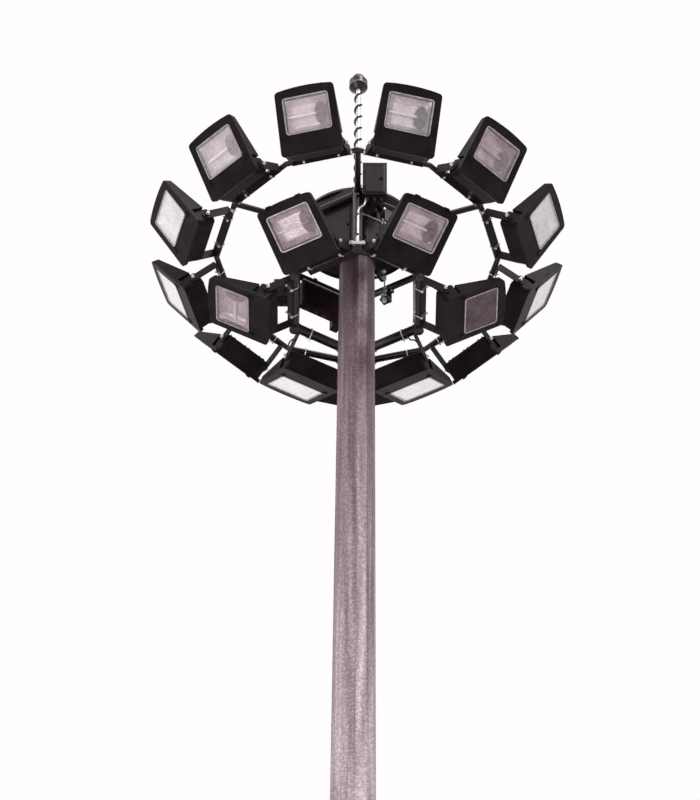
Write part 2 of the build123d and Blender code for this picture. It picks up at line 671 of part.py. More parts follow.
with BuildPart() as floodlight_housing:
    loft([frame_outline(0, 0), frame_outline(FRAME_DRAFT, -FRAME_DEPTH)], ruled=True)
    add(wedge_shell(0))
    add(gear_box(0))
    extrude(
        frame_outline(SHELL_STEP + HOUSING_WALL, -FRAME_DEPTH),
        amount=FRAME_DEPTH + FACE_BACK,
        mode=Mode.SUBTRACT,
    )
    add(wedge_shell(HOUSING_WALL), mode=Mode.SUBTRACT)
    add(gear_box(HOUSING_WALL), mode=Mode.SUBTRACT)
    extrude(
        window(GLASS_WIDTH + 2 * GLASS_GAP, GLASS_HEIGHT + 2 * GLASS_GAP, GLASS_BACK, GLASS_CORNER),
        amount=-GLASS_BACK,
        mode=Mode.SUBTRACT,
    )
    extrude(
        window(GLASS_WIDTH - 2 * GLASS_LIP, GLASS_HEIGHT - 2 * GLASS_LIP, FACE_BACK, LIP_CORNER),
        amount=-FACE_BACK,
        mode=Mode.SUBTRACT,
    )
    with BuildSketch():
        with Locations((0, -GLASS_HEIGHT / 2 - SEAM_BELOW_GLASS)):
            Rectangle(FRAME_FOOT_WIDTH, SEAM_WIDTH)
    extrude(amount=-SEAM_DEPTH, mode=Mode.SUBTRACT)
    boss_face = STIRRUP_HALF_SPREAD - STIRRUP_THICKNESS / 2 - BOSS_GAP
    pin_end = STIRRUP_THICKNESS + 2 * BOSS_GAP
    for side in (-1, 1):
        boss_plane = Plane(
            origin=(side * boss_face, -PIVOT_BELOW_GLASS_CENTRE, -PIVOT_BEHIND_GLASS),
            x_dir=(0, 1, 0),
            z_dir=(side, 0, 0),
        )
        with BuildSketch(boss_plane):
            Circle(BOSS_RADIUS)
        extrude(amount=GEAR_BOX_WIDTH / 2 - HOUSING_WALL / 2 - boss_face)
        with BuildSketch(boss_plane):
            Circle(PIVOT_PIN_RADIUS)
        extrude(amount=pin_end)
        with BuildSketch(boss_plane.offset(pin_end)):
            Circle(PIVOT_HEAD_RADIUS)
        extrude(amount=PIVOT_HEAD_THICKNESS)

with BuildPart() as floodlight_glass:
    extrude(window(GLASS_WIDTH, GLASS_HEIGHT, GLASS_BACK, GLASS_CORNER), amount=GLASS_THICKNESS)


def lamp_plane(azimuth, bar_distance, bar_level, drop):
    """Front plane of a floodlight whose stirrup hangs on a bar."""
    pivot = radial_plane(azimuth, bar_distance, bar_level, STIRRUP_DROP)
    pivot = pivot.offset(STIRRUP_REACH)
    front = radial_plane(azimuth, 0, 0, drop)
    origin = pivot.origin + front.y_dir * PIVOT_BELOW_GLASS_CENTRE
    origin = origin + front.z_dir * PIVOT_BEHIND_GLASS
    return Plane(origin=origin, x_dir=front.x_dir, z_dir=front.z_dir)


def stirrup(azimuth, bar_distance, bar_level, bar_radius):
    """U-shaped bracket: a web against the bar and two arms out to the pivots."""
    hang = radial_plane(azimuth, bar_distance, bar_level, STIRRUP_DROP)
    web_face = bar_radius + STIRRUP_GAP
    with BuildPart() as bracket:
        with BuildSketch(hang.offset(web_face)):
            Rectangle(2 * STIRRUP_HALF_SPREAD + STIRRUP_THICKNESS, STIRRUP_WIDTH)
        extrude(amount=STIRRUP_THICKNESS)
        for side in (-1, 1):
            arm = Plane(
                origin=hang.origin + hang.x_dir * side * STIRRUP_HALF_SPREAD,
                x_dir=hang.z_dir,
                z_dir=hang.x_dir,
            )
            with BuildSketch(arm):
                with Locations(((STIRRUP_REACH + web_face) / 2, 0)):
                    Rectangle(STIRRUP_REACH - web_face, STIRRUP_WIDTH)
                with Locations((STIRRUP_REACH, 0)):
                    Circle(STIRRUP_WIDTH / 2)
                    Circle(PIVOT_PIN_RADIUS + PIVOT_PIN_CLEARANCE, mode=Mode.SUBTRACT)
            extrude(amount=STIRRUP_THICKNESS / 2, both=True)
    return bracket.part


ROWS = (
    ("outer", OUTER_AZIMUTHS, RING_APOTHEM, RING_LEVEL, RING_BAR_RADIUS, OUTER_BEAM_DROP),
    ("inner", INNER_AZIMUTHS, CAGE_APOTHEM, LOWER_LEVEL, LOWER_BAR_RADIUS, INNER_BEAM_DROP),
)
for row, azimuths, bar_distance, bar_level, bar_radius, drop in ROWS:
    with BuildPart() as stirrups:
        for azimuth in azimuths:
            add(stirrup(azimuth, bar_distance, bar_level, bar_radius))
    save(stirrups.part, f"{row}_stirrups")
    for number, azimuth in enumerate(azimuths, start=1):
        front = lamp_plane(azimuth, bar_distance, bar_level, drop)
        for piece, model in (("housing", floodlight_housing), ("glass", floodlight_glass)):
            with BuildPart(front) as placed:
                add(model.part)
            save(placed.part, f"{row}_floodlight_{number:02d}_{piece}")
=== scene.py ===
import json
import math

import bmesh
import bpy
from mathutils import Matrix, Vector


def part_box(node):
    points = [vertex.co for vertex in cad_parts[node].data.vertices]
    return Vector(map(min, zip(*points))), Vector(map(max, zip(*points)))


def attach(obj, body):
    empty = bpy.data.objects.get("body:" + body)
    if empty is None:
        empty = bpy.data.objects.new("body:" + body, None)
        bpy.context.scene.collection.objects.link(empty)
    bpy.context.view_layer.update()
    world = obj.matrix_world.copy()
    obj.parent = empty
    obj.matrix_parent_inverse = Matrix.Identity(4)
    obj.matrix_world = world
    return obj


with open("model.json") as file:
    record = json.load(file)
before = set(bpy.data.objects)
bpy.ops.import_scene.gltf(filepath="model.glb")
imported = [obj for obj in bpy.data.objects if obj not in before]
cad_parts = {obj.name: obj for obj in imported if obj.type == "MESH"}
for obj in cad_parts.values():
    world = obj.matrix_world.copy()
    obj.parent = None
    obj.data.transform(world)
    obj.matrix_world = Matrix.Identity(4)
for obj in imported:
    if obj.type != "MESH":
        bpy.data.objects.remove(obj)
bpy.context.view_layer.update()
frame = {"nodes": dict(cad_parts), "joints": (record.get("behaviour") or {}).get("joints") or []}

# Stadium floodlight pylon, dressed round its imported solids. Metres, +Z up, its front at -Y.
# Azimuths are in degrees from the front towards +X.

# ---- lamp sizes
# In a lamp's own frame: X along the front, Y up it, Z along the beam from the frame's face.
GLASS_WIDTH = 0.376
GLASS_HEIGHT = 0.305
GLASS_CORNER = 0.026
GLASS_BACK = -0.007
GLASS_HALF_THICKNESS = 0.0025
TRIM_OVERHANG = 0.009
TRIM_BORDER = 0.011
TRIM_THICKNESS = 0.004
FRAME_TOP = 0.2445
SEAM_LEVEL = -0.1785
SHELL_TOP_DEPTH = 0.046
SHELL_DEPTH = 0.150
GEAR_BOX_TOP = -0.1735
GEAR_BOX_MIDDLE = -0.256
GEAR_BOX_DEPTH = 0.190
GEAR_COVER_SIZE = (0.37, 0.105, 0.004)
GEAR_SCREW_SPREAD = 0.172
GEAR_SCREW_RISE = 0.044
REFLECTOR_MARGIN = 0.012
REFLECTOR_DEPTH = 0.060
REFLECTOR_BEHIND_GLASS = 0.003
REFLECTOR_FLOOR = (0.125, 0.085)
REFLECTOR_FLARE = 0.07
FACETS = (16, 12)
FACET_RISE = 0.0022
TUBE_RADIUS = 0.011
TUBE_LENGTH = 0.220
TUBE_MIDDLE = -0.035
TUBE_LEVEL = -0.040
TUBE_CAP_RADIUS = 0.0075
TUBE_CAP_LENGTH = 0.022
HOLDER_RADIUS = 0.030
HOLDER_LENGTH = 0.055
HOLDER_MIDDLE = 0.112
SHIELD_RADIUS = 0.098
SHIELD_THICKNESS = 0.005
SHIELD_SQUASH = 0.56
SHIELD_PLACE = (HOLDER_MIDDLE - 0.004, 0, -0.050)
SHIELD_RINGS = ((0.008, 0.006), (0.012, -0.009), (0.010, 0.005))
RIB_LENGTH = 0.37
RIB_THICKNESS = 0.0035
RIB_HEIGHT = 0.014
RIB_SPREAD = 0.19
RIB_COUNT = 11
LATCH_SPREAD = 0.205
HINGE_SPREAD = 0.14
PIVOT_OUTSIDE = 0.2625
PIVOT_BELOW_GLASS = 0.270
PIVOT_BEHIND_GLASS = 0.140

# ---- carriage and mast sizes
STIRRUP_DROP = 33
WEB_BEHIND_BAR = 0.0083
PLATE_BEHIND_BAR = 0.0098
U_BOLT_ROD = 0.005
U_BOLT_SPREAD = 0.15
U_BOLT_END = 0.020
ARM_RADIUS = 0.026
SADDLE_FROM_ARM = 0.062
SADDLE_THICKNESS = 0.005
WELD_SINK = 0.001
CABINET_AZIMUTH = -30
SWITCH_AZIMUTH = 30.0
FUSE_AZIMUTH = 210.0
BEAD_SIDES = 24
SHEAVE_INNER = 0.165
SHEAVE_NUT_SIDE = 0.0235
ROPE_BEND = 0.075
COVER_RISE, COVER_RUN = 0.096, 0.410
ROD_FOOT_THICKNESS = 0.014
ROD_LEAD_RADIUS = 0.009
ROD_LEAD_SWEEP = 0.029
ROD_LEAD_TURNS = 11
ROD_LEAD_END = 0.05
MAST_TURN = 5
MAST_SIDES = 12
SHAFT_NARROWING = 0.00362
SEAM_AZIMUTHS = (95.0, 275.0)
ANCHOR_CIRCLE = 0.345
DOOR_AZIMUTH = 20
EARTH_AZIMUTH, EARTH_DISTANCE, EARTH_LEVEL = 80.0, 0.2412, 0.42

ORIGIN = (0, 0, 0)
AS_MODELLED = Matrix.Identity(4)
X, Y, Z = Vector((1, 0, 0)), Vector((0, 1, 0)), Vector((0, 0, 1))


# ---- modelling by hand
def deselect():
    """Nothing is selected, so the next operator touches only the new piece."""
    bpy.ops.object.select_all(action="DESELECT")


def take(piece):
    """Selects one piece alone and takes it in hand."""
    deselect()
    piece.select_set(True)
    bpy.context.view_layer.objects.active = piece


def edit():
    """Opens the piece in hand for shaping, by its faces."""
    bpy.ops.object.mode_set(mode="EDIT")
    bpy.ops.mesh.select_mode(type="FACE")


def done():
    """Closes the piece in hand."""
    bpy.ops.object.mode_set(mode="OBJECT")


def unselected(kind):
    """Shape of the piece in hand, with nothing on it selected."""
    bpy.ops.mesh.select_mode(type=kind)
    bpy.ops.mesh.select_all(action="DESELECT")
    return bmesh.from_edit_mesh(bpy.context.object.data)


def select_faces(wanted):
    """Selects the faces of the piece in hand whose centre and normal pass the test."""
    for face in unselected("FACE").faces:
        face.select_set(wanted(face.calc_center_median(), face.normal))
    bmesh.update_edit_mesh(bpy.context.object.data)


def select_side(direction):
    """Selects the faces of the piece in hand that look along a direction."""
    select_faces(lambda centre, normal: normal.dot(direction) > 0.99)


def select_ends(axis):
    """Selects the faces of the piece in hand that close its two ends."""
    select_faces(lambda centre, normal: abs(normal.dot(axis)) > 0.99)


def select_edges(wanted):
    """Selects the edges of the piece in hand whose middle and direction pass the test."""
    for edge in unselected("EDGE").edges:
        start, end = edge.verts[0].co, edge.verts[1].co
        edge.select_set(wanted((start + end) / 2, (end - start).normalized()))
    bmesh.update_edit_mesh(bpy.context.object.data)


def bevel(width, segments):
    """Rounds the edges of what is selected."""
    bpy.ops.mesh.bevel(offset=width, segments=segments, affect="EDGES")


def step_in(border, step):
    """Insets the selected face and draws it out or in by a step, with walls."""
    bpy.ops.mesh.inset(thickness=border)
    bpy.ops.mesh.extrude_region_move(TRANSFORM_OT_translate={"value": step})


def settle(piece):
    """Puts the piece's place into its mesh, with its object at the origin."""
    bpy.context.view_layer.update()
    piece.data.transform(piece.matrix_world)
    piece.matrix_world = Matrix.Identity(4)


def smooth(piece, angle=35):
    """Smooth shading with crisp edges."""
    take(piece)
    bpy.ops.object.shade_smooth_by_angle(angle=math.radians(angle))


def join(pieces):
    """Joins pieces that are cast or bolted as one."""
    if len(pieces) == 1:
        return pieces[0]
    deselect()
    for piece in pieces:
        piece.select_set(True)
    bpy.context.view_layer.objects.active = pieces[0]
    bpy.ops.object.join()
    return bpy.context.object


def point_along(piece, axis):
    """Turns a new piece from Z to a direction."""
    piece.rotation_mode = "QUATERNION"
    piece.rotation_quaternion = Z.rotation_difference(Vector(axis))
    bpy.ops.object.transform_apply(location=False, rotation=True, scale=False)
    return piece


def block(size, centre):
    """Block of a size, ready to be shaped in edit mode."""
    deselect()
    bpy.ops.mesh.primitive_cube_add(size=1, location=centre)
    piece = bpy.context.object
    piece.scale = size
    bpy.ops.object.transform_apply(location=False, rotation=False, scale=True)
    return piece


def turned(radius, length, centre, axis, sides=24):
    """Round blank with its axis along a direction."""
    deselect()
    bpy.ops.mesh.primitive_cylinder_add(
        vertices=sides, radius=radius, depth=length, location=centre
    )
    return point_along(bpy.context.object, axis)


def round_rims(radius, axis, segments=2):
    """Rounds the two rims of the turned blank in hand."""
    edit()
    select_ends(axis)
    bevel(radius, segments)
    done()


def collar(inner, outer, length, centre, axis, sides=32):
    """Short tube with open ends."""
    ring = turned(outer, length, centre, axis, sides)
    edit()
    select_ends(axis.normalized())
    bpy.ops.mesh.inset(thickness=outer - inner)
    bpy.ops.mesh.bridge_edge_loops()
    done()
    return ring


def bead(radius, thickness, centre, axis, sides=28):
    """Round bead, such as a weld or a rolled edge."""
    deselect()
    bpy.ops.mesh.primitive_torus_add(
        major_segments=sides,
        minor_segments=8,
        major_radius=radius,
        minor_radius=thickness,
        location=centre,
    )
    return point_along(bpy.context.object, axis)


def bevelled_block(size, centre, width, segments=2):
    """Block with all its edges rounded."""
    piece = block(size, centre)
    edit()
    bpy.ops.mesh.select_all(action="SELECT")
    bevel(width, segments)
    done()
    return piece


def panel(size, centre, facing, border, sink, width=0.002):
    """Block whose front is pressed in inside a border."""
    piece = block(size, centre)
    edit()
    select_side(facing)
    step_in(border, -facing * sink)
    bpy.ops.mesh.inset(thickness=sink)
    bpy.ops.mesh.select_all(action="SELECT")
    bevel(width, 1)
    done()
    return piece


def crowned(radius, length, centre, axis, sides, border, rise):
    """Turned blank whose outer end slopes up to a smaller face."""
    piece = turned(radius, length, centre, axis, sides)
    edit()
    select_side(axis)
    bpy.ops.mesh.inset(thickness=border)
    bpy.ops.transform.translate(value=axis * rise)
    done()
    return piece


def recessed(radius, length, centre, sides, border, sink):
    """Turned boss on Z with a recess in its top."""
    piece = turned(radius, length, centre, Z, sides)
    edit()
    select_side(Z)
    step_in(border, -Z * sink)
    done()
    return piece


def hex_bolt(size, centre, axis):
    """Hexagon head with a worn crown, on a washer."""
    foot = Vector(centre)
    washer = turned(size * 0.62, size * 0.14, foot + axis * size * 0.07, axis, 18)
    middle = foot + axis * size * 0.44
    head = crowned(size * 0.56, size * 0.6, middle, axis, 6, size * 0.09, size * 0.05)
    return join([washer, head])


def gland(radius, centre, axis):
    """Cable gland: a hexagon and a domed cap."""
    foot = Vector(centre)
    body = turned(radius, radius, foot + axis * radius / 2, axis, 6)
    middle = foot + axis * radius * 1.5
    cap = crowned(radius * 0.86, radius * 1.2, middle, axis, 16, radius * 0.3, radius * 0.4)
    return join([body, cap])


def bent_tube(points, radius):
    """Tube along straight runs with rounded corners, from a curve with a round bevel."""
    deselect()
    bpy.ops.curve.primitive_nurbs_path_add(location=ORIGIN)
    curve = bpy.context.object.data
    spline = curve.splines[0]
    spline.points.add(len(points) - len(spline.points))
    for point, place in zip(spline.points, points):
        point.co = (*place, 1.0)
    spline.order_u = 3
    spline.use_endpoint_u = True
    curve.bevel_depth = radius
    curve.bevel_resolution = 3
    curve.resolution_u = 12
    curve.use_fill_caps = True
    bpy.ops.object.convert(target="MESH")
    return bpy.context.object


# ---- putting pieces in place
def placed(spot, across, beam):
    """Place at a spot from its X and Z axes."""
    axes = Matrix((across, beam.cross(across), beam)).transposed().to_4x4()
    return Matrix.Translation(spot) @ axes


def round_place(azimuth, distance, level, drop=0.0):
    """Place at an azimuth: X along the tangent, Z outwards and down by a drop."""
    turn, fall = math.radians(azimuth), math.radians(drop)
    tangent = Vector((math.cos(turn), math.sin(turn), 0))
    outward = Vector((math.sin(turn), -math.cos(turn), 0))
    beam = outward * math.cos(fall) - Vector((0, 0, math.sin(fall)))
    return placed(outward * distance + Vector((0, 0, level)), tangent, beam)


def places_round(azimuths, distance, level, drop=0.0):
    """The same place at several azimuths."""
    return [round_place(azimuth, distance, level, drop) for azimuth in azimuths]


def shifted(place, across):
    """A place moved along its own X."""
    return place @ Matrix.Translation((across, 0, 0))


def hand_over(piece, name, body, finish):
    """Names a finished piece, gives it its finish and lets it ride on its body."""
    settle(piece)
    piece.name = name
    piece.data.name = name
    piece.data.materials.clear()
    piece.data.materials.append(finish)
    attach(piece, body)
    return piece


def twin_at(pattern, place, name):
    """Own copy of a modelled pattern, moved to a place."""
    twin = bpy.data.objects.new(name, pattern.data.copy())
    bpy.context.scene.collection.objects.link(twin)
    twin.matrix_world = place
    settle(twin)
    return twin


def fit_round(pattern, name, places, slot, finish):
    """Copies a modelled pattern to each place and keeps the copies as one piece."""
    settle(pattern)
    smooth(pattern)
    copies = [twin_at(pattern, place, name) for place in places]
    bpy.data.objects.remove(pattern)
    hand_over(join(copies), name, "pylon", finish)


def one_off(piece, name, place, slot, finish):
    """Places a single modelled piece."""
    fit_round(piece, name, [place], slot, finish)


# ---- finishes
def wired(node, **sockets):
    """Sets each named socket of a node, or feeds it from another node."""
    for name, value in sockets.items():
        socket = node.inputs[name.replace("_", " ")]
        if isinstance(value, bpy.types.NodeSocket):
            node.id_data.links.new(value, socket)
        else:
            socket.default_value = value
    return node


def beside(socket, kind):
    """New node in the tree that a socket belongs to."""
    return socket.id_data.nodes.new(f"ShaderNode{kind}")


def new_finish(name, roughness, metallic=0.0):
    """Material with its shader and the object's own coordinates."""
    finish = bpy.data.materials.new(name)
    finish.use_nodes = True
    nodes = finish.node_tree.nodes
    shader = wired(nodes["Principled BSDF"], Roughness=roughness, Metallic=metallic)
    return finish, shader, nodes.new("ShaderNodeTexCoord").outputs["Object"]


def stretched(place, scale):
    """Object coordinates stretched along the axes."""
    return wired(beside(place, "Mapping"), Scale=scale, Vector=place).outputs["Vector"]


def clouds(vector, scale, detail=4.0):
    """Soft noise."""
    noise = beside(vector, "TexNoise")
    return wired(noise, Scale=scale, Detail=detail, Vector=vector).outputs["Fac"]


def spangle(vector, scale):
    """Crystal cells of a zinc coat, from their middles outwards."""
    return wired(beside(vector, "TexVoronoi"), Scale=scale, Vector=vector).outputs["Distance"]


def bands(vector, direction, scale):
    """Even bands along a direction."""
    wave = beside(vector, "TexWave")
    wave.bands_direction = direction
    return wired(wave, Scale=scale, Vector=vector).outputs["Fac"]


def ramp(source, stops):
    """Colours along a pattern."""
    colours = beside(source, "ValToRGB")
    elements = colours.color_ramp.elements
    while len(elements) < len(stops):
        elements.new(0.5)
    for element, (position, colour) in zip(elements, stops):
        element.position = position
        element.color = (*colour, 1.0)
    return wired(colours, Fac=source).outputs["Color"]


def multiplied(first, second, share=1.0):
    """Two colours multiplied, the second by a share."""
    mix = beside(first, "MixRGB")
    mix.blend_type = "MULTIPLY"
    return wired(mix, Fac=share, Color1=first, Color2=second).outputs["Color"]


def raised(shader, height, depth):
    """Fine relief of a surface."""
    bump = wired(beside(height, "Bump"), Distance=depth, Strength=0.6, Height=height)
    wired(shader, Normal=bump.outputs["Normal"])


def spread(source, **bounds):
    """Turns a pattern from its own bounds to others, 0 and 1 where none are named."""
    return wired(beside(source, "MapRange"), Value=source, **bounds).outputs["Result"]


def mottled(name, surface, scale, stops, grain, depth):
    """Soft clouds of tone over a fine grain, for a surface's roughness and metal."""
    finish, shader, place = new_finish(name, *surface)
    wired(shader, Base_Color=ramp(clouds(place, scale), stops))
    raised(shader, clouds(place, grain), depth)
    return finish


def zinc_coat():
    """Weathered zinc with long runs and spangle, painted darker with height as shade under the
    head.
    """
    finish, shader, place = new_finish("weathered_zinc_and_head_shade", 0.5, 0.2)
    patina = ramp(
        clouds(stretched(place, (9, 9, 0.35)), 2.2, 6.0),
        [(0.34, (0.41, 0.315, 0.335)), (0.52, (0.69, 0.57, 0.595)), (0.68, (0.94, 0.83, 0.85))],
    )
    grain = ramp(spangle(place, 40), [(0.10, WHITE), (0.62, (0.52, 0.50, 0.52))])
    height = wired(beside(place, "SeparateXYZ"), Vector=place).outputs["Z"]
    # Painted shade: the zinc darkens with height up to the head, standing in for the head's shadow
    # on the mast.
    painted_shade = ramp(
        spread(height, From_Min=HEAD_SHADE_FROM, From_Max=HEAD_SHADE_TO),
        [
            (0.0, WHITE),
            (0.38, (0.72, 0.67, 0.69)),
            (0.66, (0.41, 0.335, 0.36)),
            (0.90, (0.31, 0.24, 0.26)),
            (1.0, (0.18, 0.13, 0.14)),
        ],
    )
    # Patina and spangle under the painted shade.
    worn = multiplied(multiplied(patina, grain, 0.9), painted_shade)
    dulled = spread(clouds(place, 30), To_Min=0.46, To_Max=0.68)
    wired(shader, Base_Color=worn, Roughness=dulled)
    raised(shader, clouds(place, 140), 0.0006)
    return finish


def satin_paint(name, tones, roughness, gloss):
    """Dark paint over zinc, faded and dusty in places."""
    finish, shader, place = new_finish(name, roughness)
    tone = ramp(clouds(place, 5, 6.0), list(zip((0.38, 0.68), tones)))
    dust = ramp(clouds(place, 60, 3.0), [(0.55, WHITE), (0.80, (1.9, 1.8, 1.85))])
    wired(
        shader,
        Base_Color=multiplied(tone, dust),
        Roughness=spread(clouds(place, 18), To_Min=roughness - 0.08, To_Max=roughness + 0.14),
        Specular_IOR_Level=gloss,
        Sheen_Weight=0.10,
        Sheen_Roughness=0.35,
        Sheen_Tint=(1.0, 0.84, 0.86, 1),
    )
    raised(shader, clouds(place, 260), 0.0004)
    return finish


def wire_rope():
    """Greased strands laid at a slant."""
    finish, shader, place = new_finish("greased_wire_rope", 0.42, 0.7)
    strands = bands(stretched(place, (1, 1, 0.6)), "DIAGONAL", 46)
    tone = ramp(strands, [(0.2, (0.20, 0.18, 0.18)), (0.7, (0.58, 0.55, 0.55))])
    wired(shader, Base_Color=tone)
    raised(shader, strands, 0.0015)
    return finish


def beacon_glass():
    """Dark red ribbed glass."""
    finish, shader, place = new_finish("beacon_glass", 0.12)
    stops = [(0.3, (0.10, 0.022, 0.028)), (0.7, (0.19, 0.05, 0.055))]
    wired(shader, Base_Color=ramp(clouds(place, 22), stops))
    raised(shader, bands(place, "Z", 60), 0.001)
    return finish


def lamp_glass(name, shaded, clear, painted_shade):
    """Toughened front glass: clear when looked into, opaque in its own pale colour at a slant as a
    painted reflection of the sky, with haze that its last factor thickens.
    """
    finish, shader, place = new_finish(name, 0.10)
    tone = ramp(clouds(place, 8), [(0.3, shaded), (0.7, clear)])
    # Painted reflection: the glass grows opaque at a slant, so its pale colour stands in for the
    # sky seen in it.
    slant = wired(beside(place, "LayerWeight"), Blend=0.5).outputs["Facing"]
    cover = ramp(slant, [(0.05, (0.12,) * 3), (0.38, (0.26,) * 3), (0.56, (0.90,) * 3)])
    # The last factor thickens the haze; the darker copies of the glass use it for painted shade.
    haze_and_shade_stops = [(0.3, (0.80 * painted_shade,) * 3), (0.7, (1.20 * painted_shade,) * 3)]
    haze_and_shade = ramp(clouds(place, 30, 5.0), haze_and_shade_stops)
    wired(shader, Base_Color=tone, Alpha=multiplied(cover, haze_and_shade))
    raised(shader, clouds(place, 90), 0.0002)
    return finish


def hammered_aluminium():
    """Bright dimpled sheet, dulled in clouds."""
    finish, shader, place = new_finish("hammered_aluminium", 0.34, 0.7)
    dimples = spangle(place, 75)
    tone = ramp(dimples, [(0.0, (1.0, 0.97, 0.99)), (0.7, (0.72, 0.58, 0.64))])
    dull_stops = [(0.32, (0.74, 0.65, 0.70)), (0.60, (1.0, 0.98, 1.0))]
    dull = ramp(clouds(place, 9), dull_stops)
    wired(shader, Base_Color=multiplied(tone, dull))
    raised(shader, dimples, 0.004)
    return finish


def quartz_tube():
    """Milky white quartz."""
    finish, shader, place = new_finish("quartz_tube", 0.08)
    milk = clouds(place, 14)
    wired(shader, Base_Color=ramp(milk, [(0.3, (0.94,) * 3), (0.7, WHITE)]))
    return finish


def ceramic(name, dark, light):
    """Glazed ceramic, mottled by heat."""
    return mottled(name, (0.45,), 30, [(0.3, dark), (0.7, light)], 180, 0.0004)


WHITE = (1.0, 1.0, 1.0)
# Heights between which the zinc is painted darker as shade under the head.
HEAD_SHADE_FROM, HEAD_SHADE_TO = 22.0, 30.2
GREYS = ((0.008, 0.005, 0.006), (0.019, 0.012, 0.014))
MAROONS = ((0.010, 0.003, 0.0045), (0.022, 0.007, 0.010))
BLACKS = ((0.005, 0.003, 0.0035), (0.013, 0.008, 0.0095))
BRIGHT_STOPS = [(0.35, (0.56, 0.52, 0.53)), (0.65, (0.80, 0.77, 0.78))]
TRIM_STOPS = [(0.3, (0.24, 0.21, 0.22)), (0.7, (0.48, 0.43, 0.45))]
RUBBER_STOPS = [(0.3, (0.018, 0.016, 0.018)), (0.7, (0.05, 0.045, 0.05))]
ZINC = zinc_coat()
BRIGHT = mottled("bright_zinc", (0.34, 0.55), 24, BRIGHT_STOPS, 220, 0.0003)
CARRIAGE_PAINT = satin_paint("carriage_paint", GREYS, 0.30, 0.35)
STIRRUP_PAINT = satin_paint("stirrup_paint", GREYS, 0.52, 0.08)
BOX_PAINT = satin_paint("box_paint", MAROONS, 0.45, 0.15)
HOUSING_PAINT = satin_paint("housing_paint", BLACKS, 0.50, 0.09)
TRIM = mottled("pressed_trim", (0.40, 0.5), 28, TRIM_STOPS, 200, 0.0003)
ROPE = wire_rope()
BEACON_GLASS = beacon_glass()
LAMP_GLASS = lamp_glass("lamp_glass", (0.86, 0.84, 0.85), (0.96, 0.94, 0.95), 1.0)
# Darker copies of the glass: the near-black one is painted shade, and the streaked one is streaks
# with painted shade.
DEEP_SHADED_GLASS = lamp_glass("deep_shaded_glass", (0.045, 0.022, 0.028), (0.11, 0.06, 0.07), 3.2)
DUSTY_GLASS = lamp_glass("dusty_glass", (0.40, 0.31, 0.35), (0.58, 0.48, 0.53), 1.1)
STREAKED_AND_SHADED_GLASS = lamp_glass("streaked_and_shaded_glass", (0.40, 0.30, 0.34), (0.74, 0.63, 0.67), 1.25)
REFLECTOR = hammered_aluminium()
QUARTZ = quartz_tube()
CERAMIC = ceramic("brown_ceramic", (0.085, 0.040, 0.050), (0.22, 0.13, 0.15))
BURNT_CERAMIC = ceramic("burnt_ceramic", (0.020, 0.003, 0.006), (0.075, 0.016, 0.024))
RUBBER = mottled("black_rubber", (0.7,), 40, RUBBER_STOPS, 300, 0.0002)

FINISH_OF_SLOT = {
    "galvanised_steel": ZINC,
    "dark_paint": CARRIAGE_PAINT,
    "box_paint": BOX_PAINT,
    "steel_rope": ROPE,
    "bright_rod": BRIGHT,
    "beacon_glass": BEACON_GLASS,
    "lamp_housing": HOUSING_PAINT,
    "lamp_glass": LAMP_GLASS,
}
FINISH_OF_NODE = {
    "outer_stirrups": STIRRUP_PAINT,
    "inner_stirrups": STIRRUP_PAINT,
    # Painted shade: the near-black and streaked glass copies darken these lamps for the shade on
    # them.
    "inner_floodlight_01_glass": STREAKED_AND_SHADED_GLASS,
    "inner_floodlight_02_glass": DEEP_SHADED_GLASS,
    "inner_floodlight_05_glass": DUSTY_GLASS,
    "inner_floodlight_06_glass": STREAKED_AND_SHADED_GLASS,
    "outer_floodlight_02_glass": STREAKED_AND_SHADED_GLASS,
}
for name, node in frame["nodes"].items():
    for material_slot in node.material_slots:
        slot_finish = FINISH_OF_SLOT[material_slot.material.name]
        material_slot.material = FINISH_OF_NODE.get(name, slot_finish)

# Slot and finish of the pylon's own pieces
BRIGHT_STEEL = ("galvanised_steel", BRIGHT)
DULL_STEEL = ("galvanised_steel", ZINC)
PAINTED = ("dark_paint", CARRIAGE_PAINT)
LIDS = ("box_paint", BOX_PAINT)
RUBBERED = ("dark_paint", RUBBER)
# Brown ceramic finish, here the painted highlight strip on the right post.
BROWNED = ("dark_paint", CERAMIC)

# ---- where each lamp sits
LAMPS = [joint["child"] for joint in frame["joints"]]
LAMPS_WITH_BURNT_HOLDERS = ("outer_floodlight_01", "outer_floodlight_02", "inner_floodlight_01")


def glass_place(lamp):
    """Place of a lamp's glass: X along the front, Y up it and Z along the beam."""
    node = frame["nodes"][f"{lamp}_glass"]
    low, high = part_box(f"{lamp}_glass")
    facing_down = [face for face in node.data.polygons if face.normal.z < 0]
    beam = max(facing_down, key=lambda face: face.area).normal.normalized()
    across = Z.cross(beam).normalized()
    return placed((low + high) / 2 - beam * (GLASS_BACK + GLASS_HALF_THICKNESS), across, beam)


LAMP_PLACES = {lamp: glass_place(lamp) for lamp in LAMPS}


def fit_to_lamps(pattern, kind, finish):
    """Gives every floodlight its own copy of a modelled piece."""
    settle(pattern)
    smooth(pattern)
    for lamp, place in LAMP_PLACES.items():
        name = f"{lamp}_{kind}"
        hand_over(twin_at(pattern, place, name), name, lamp, finish)
    bpy.data.objects.remove(pattern)


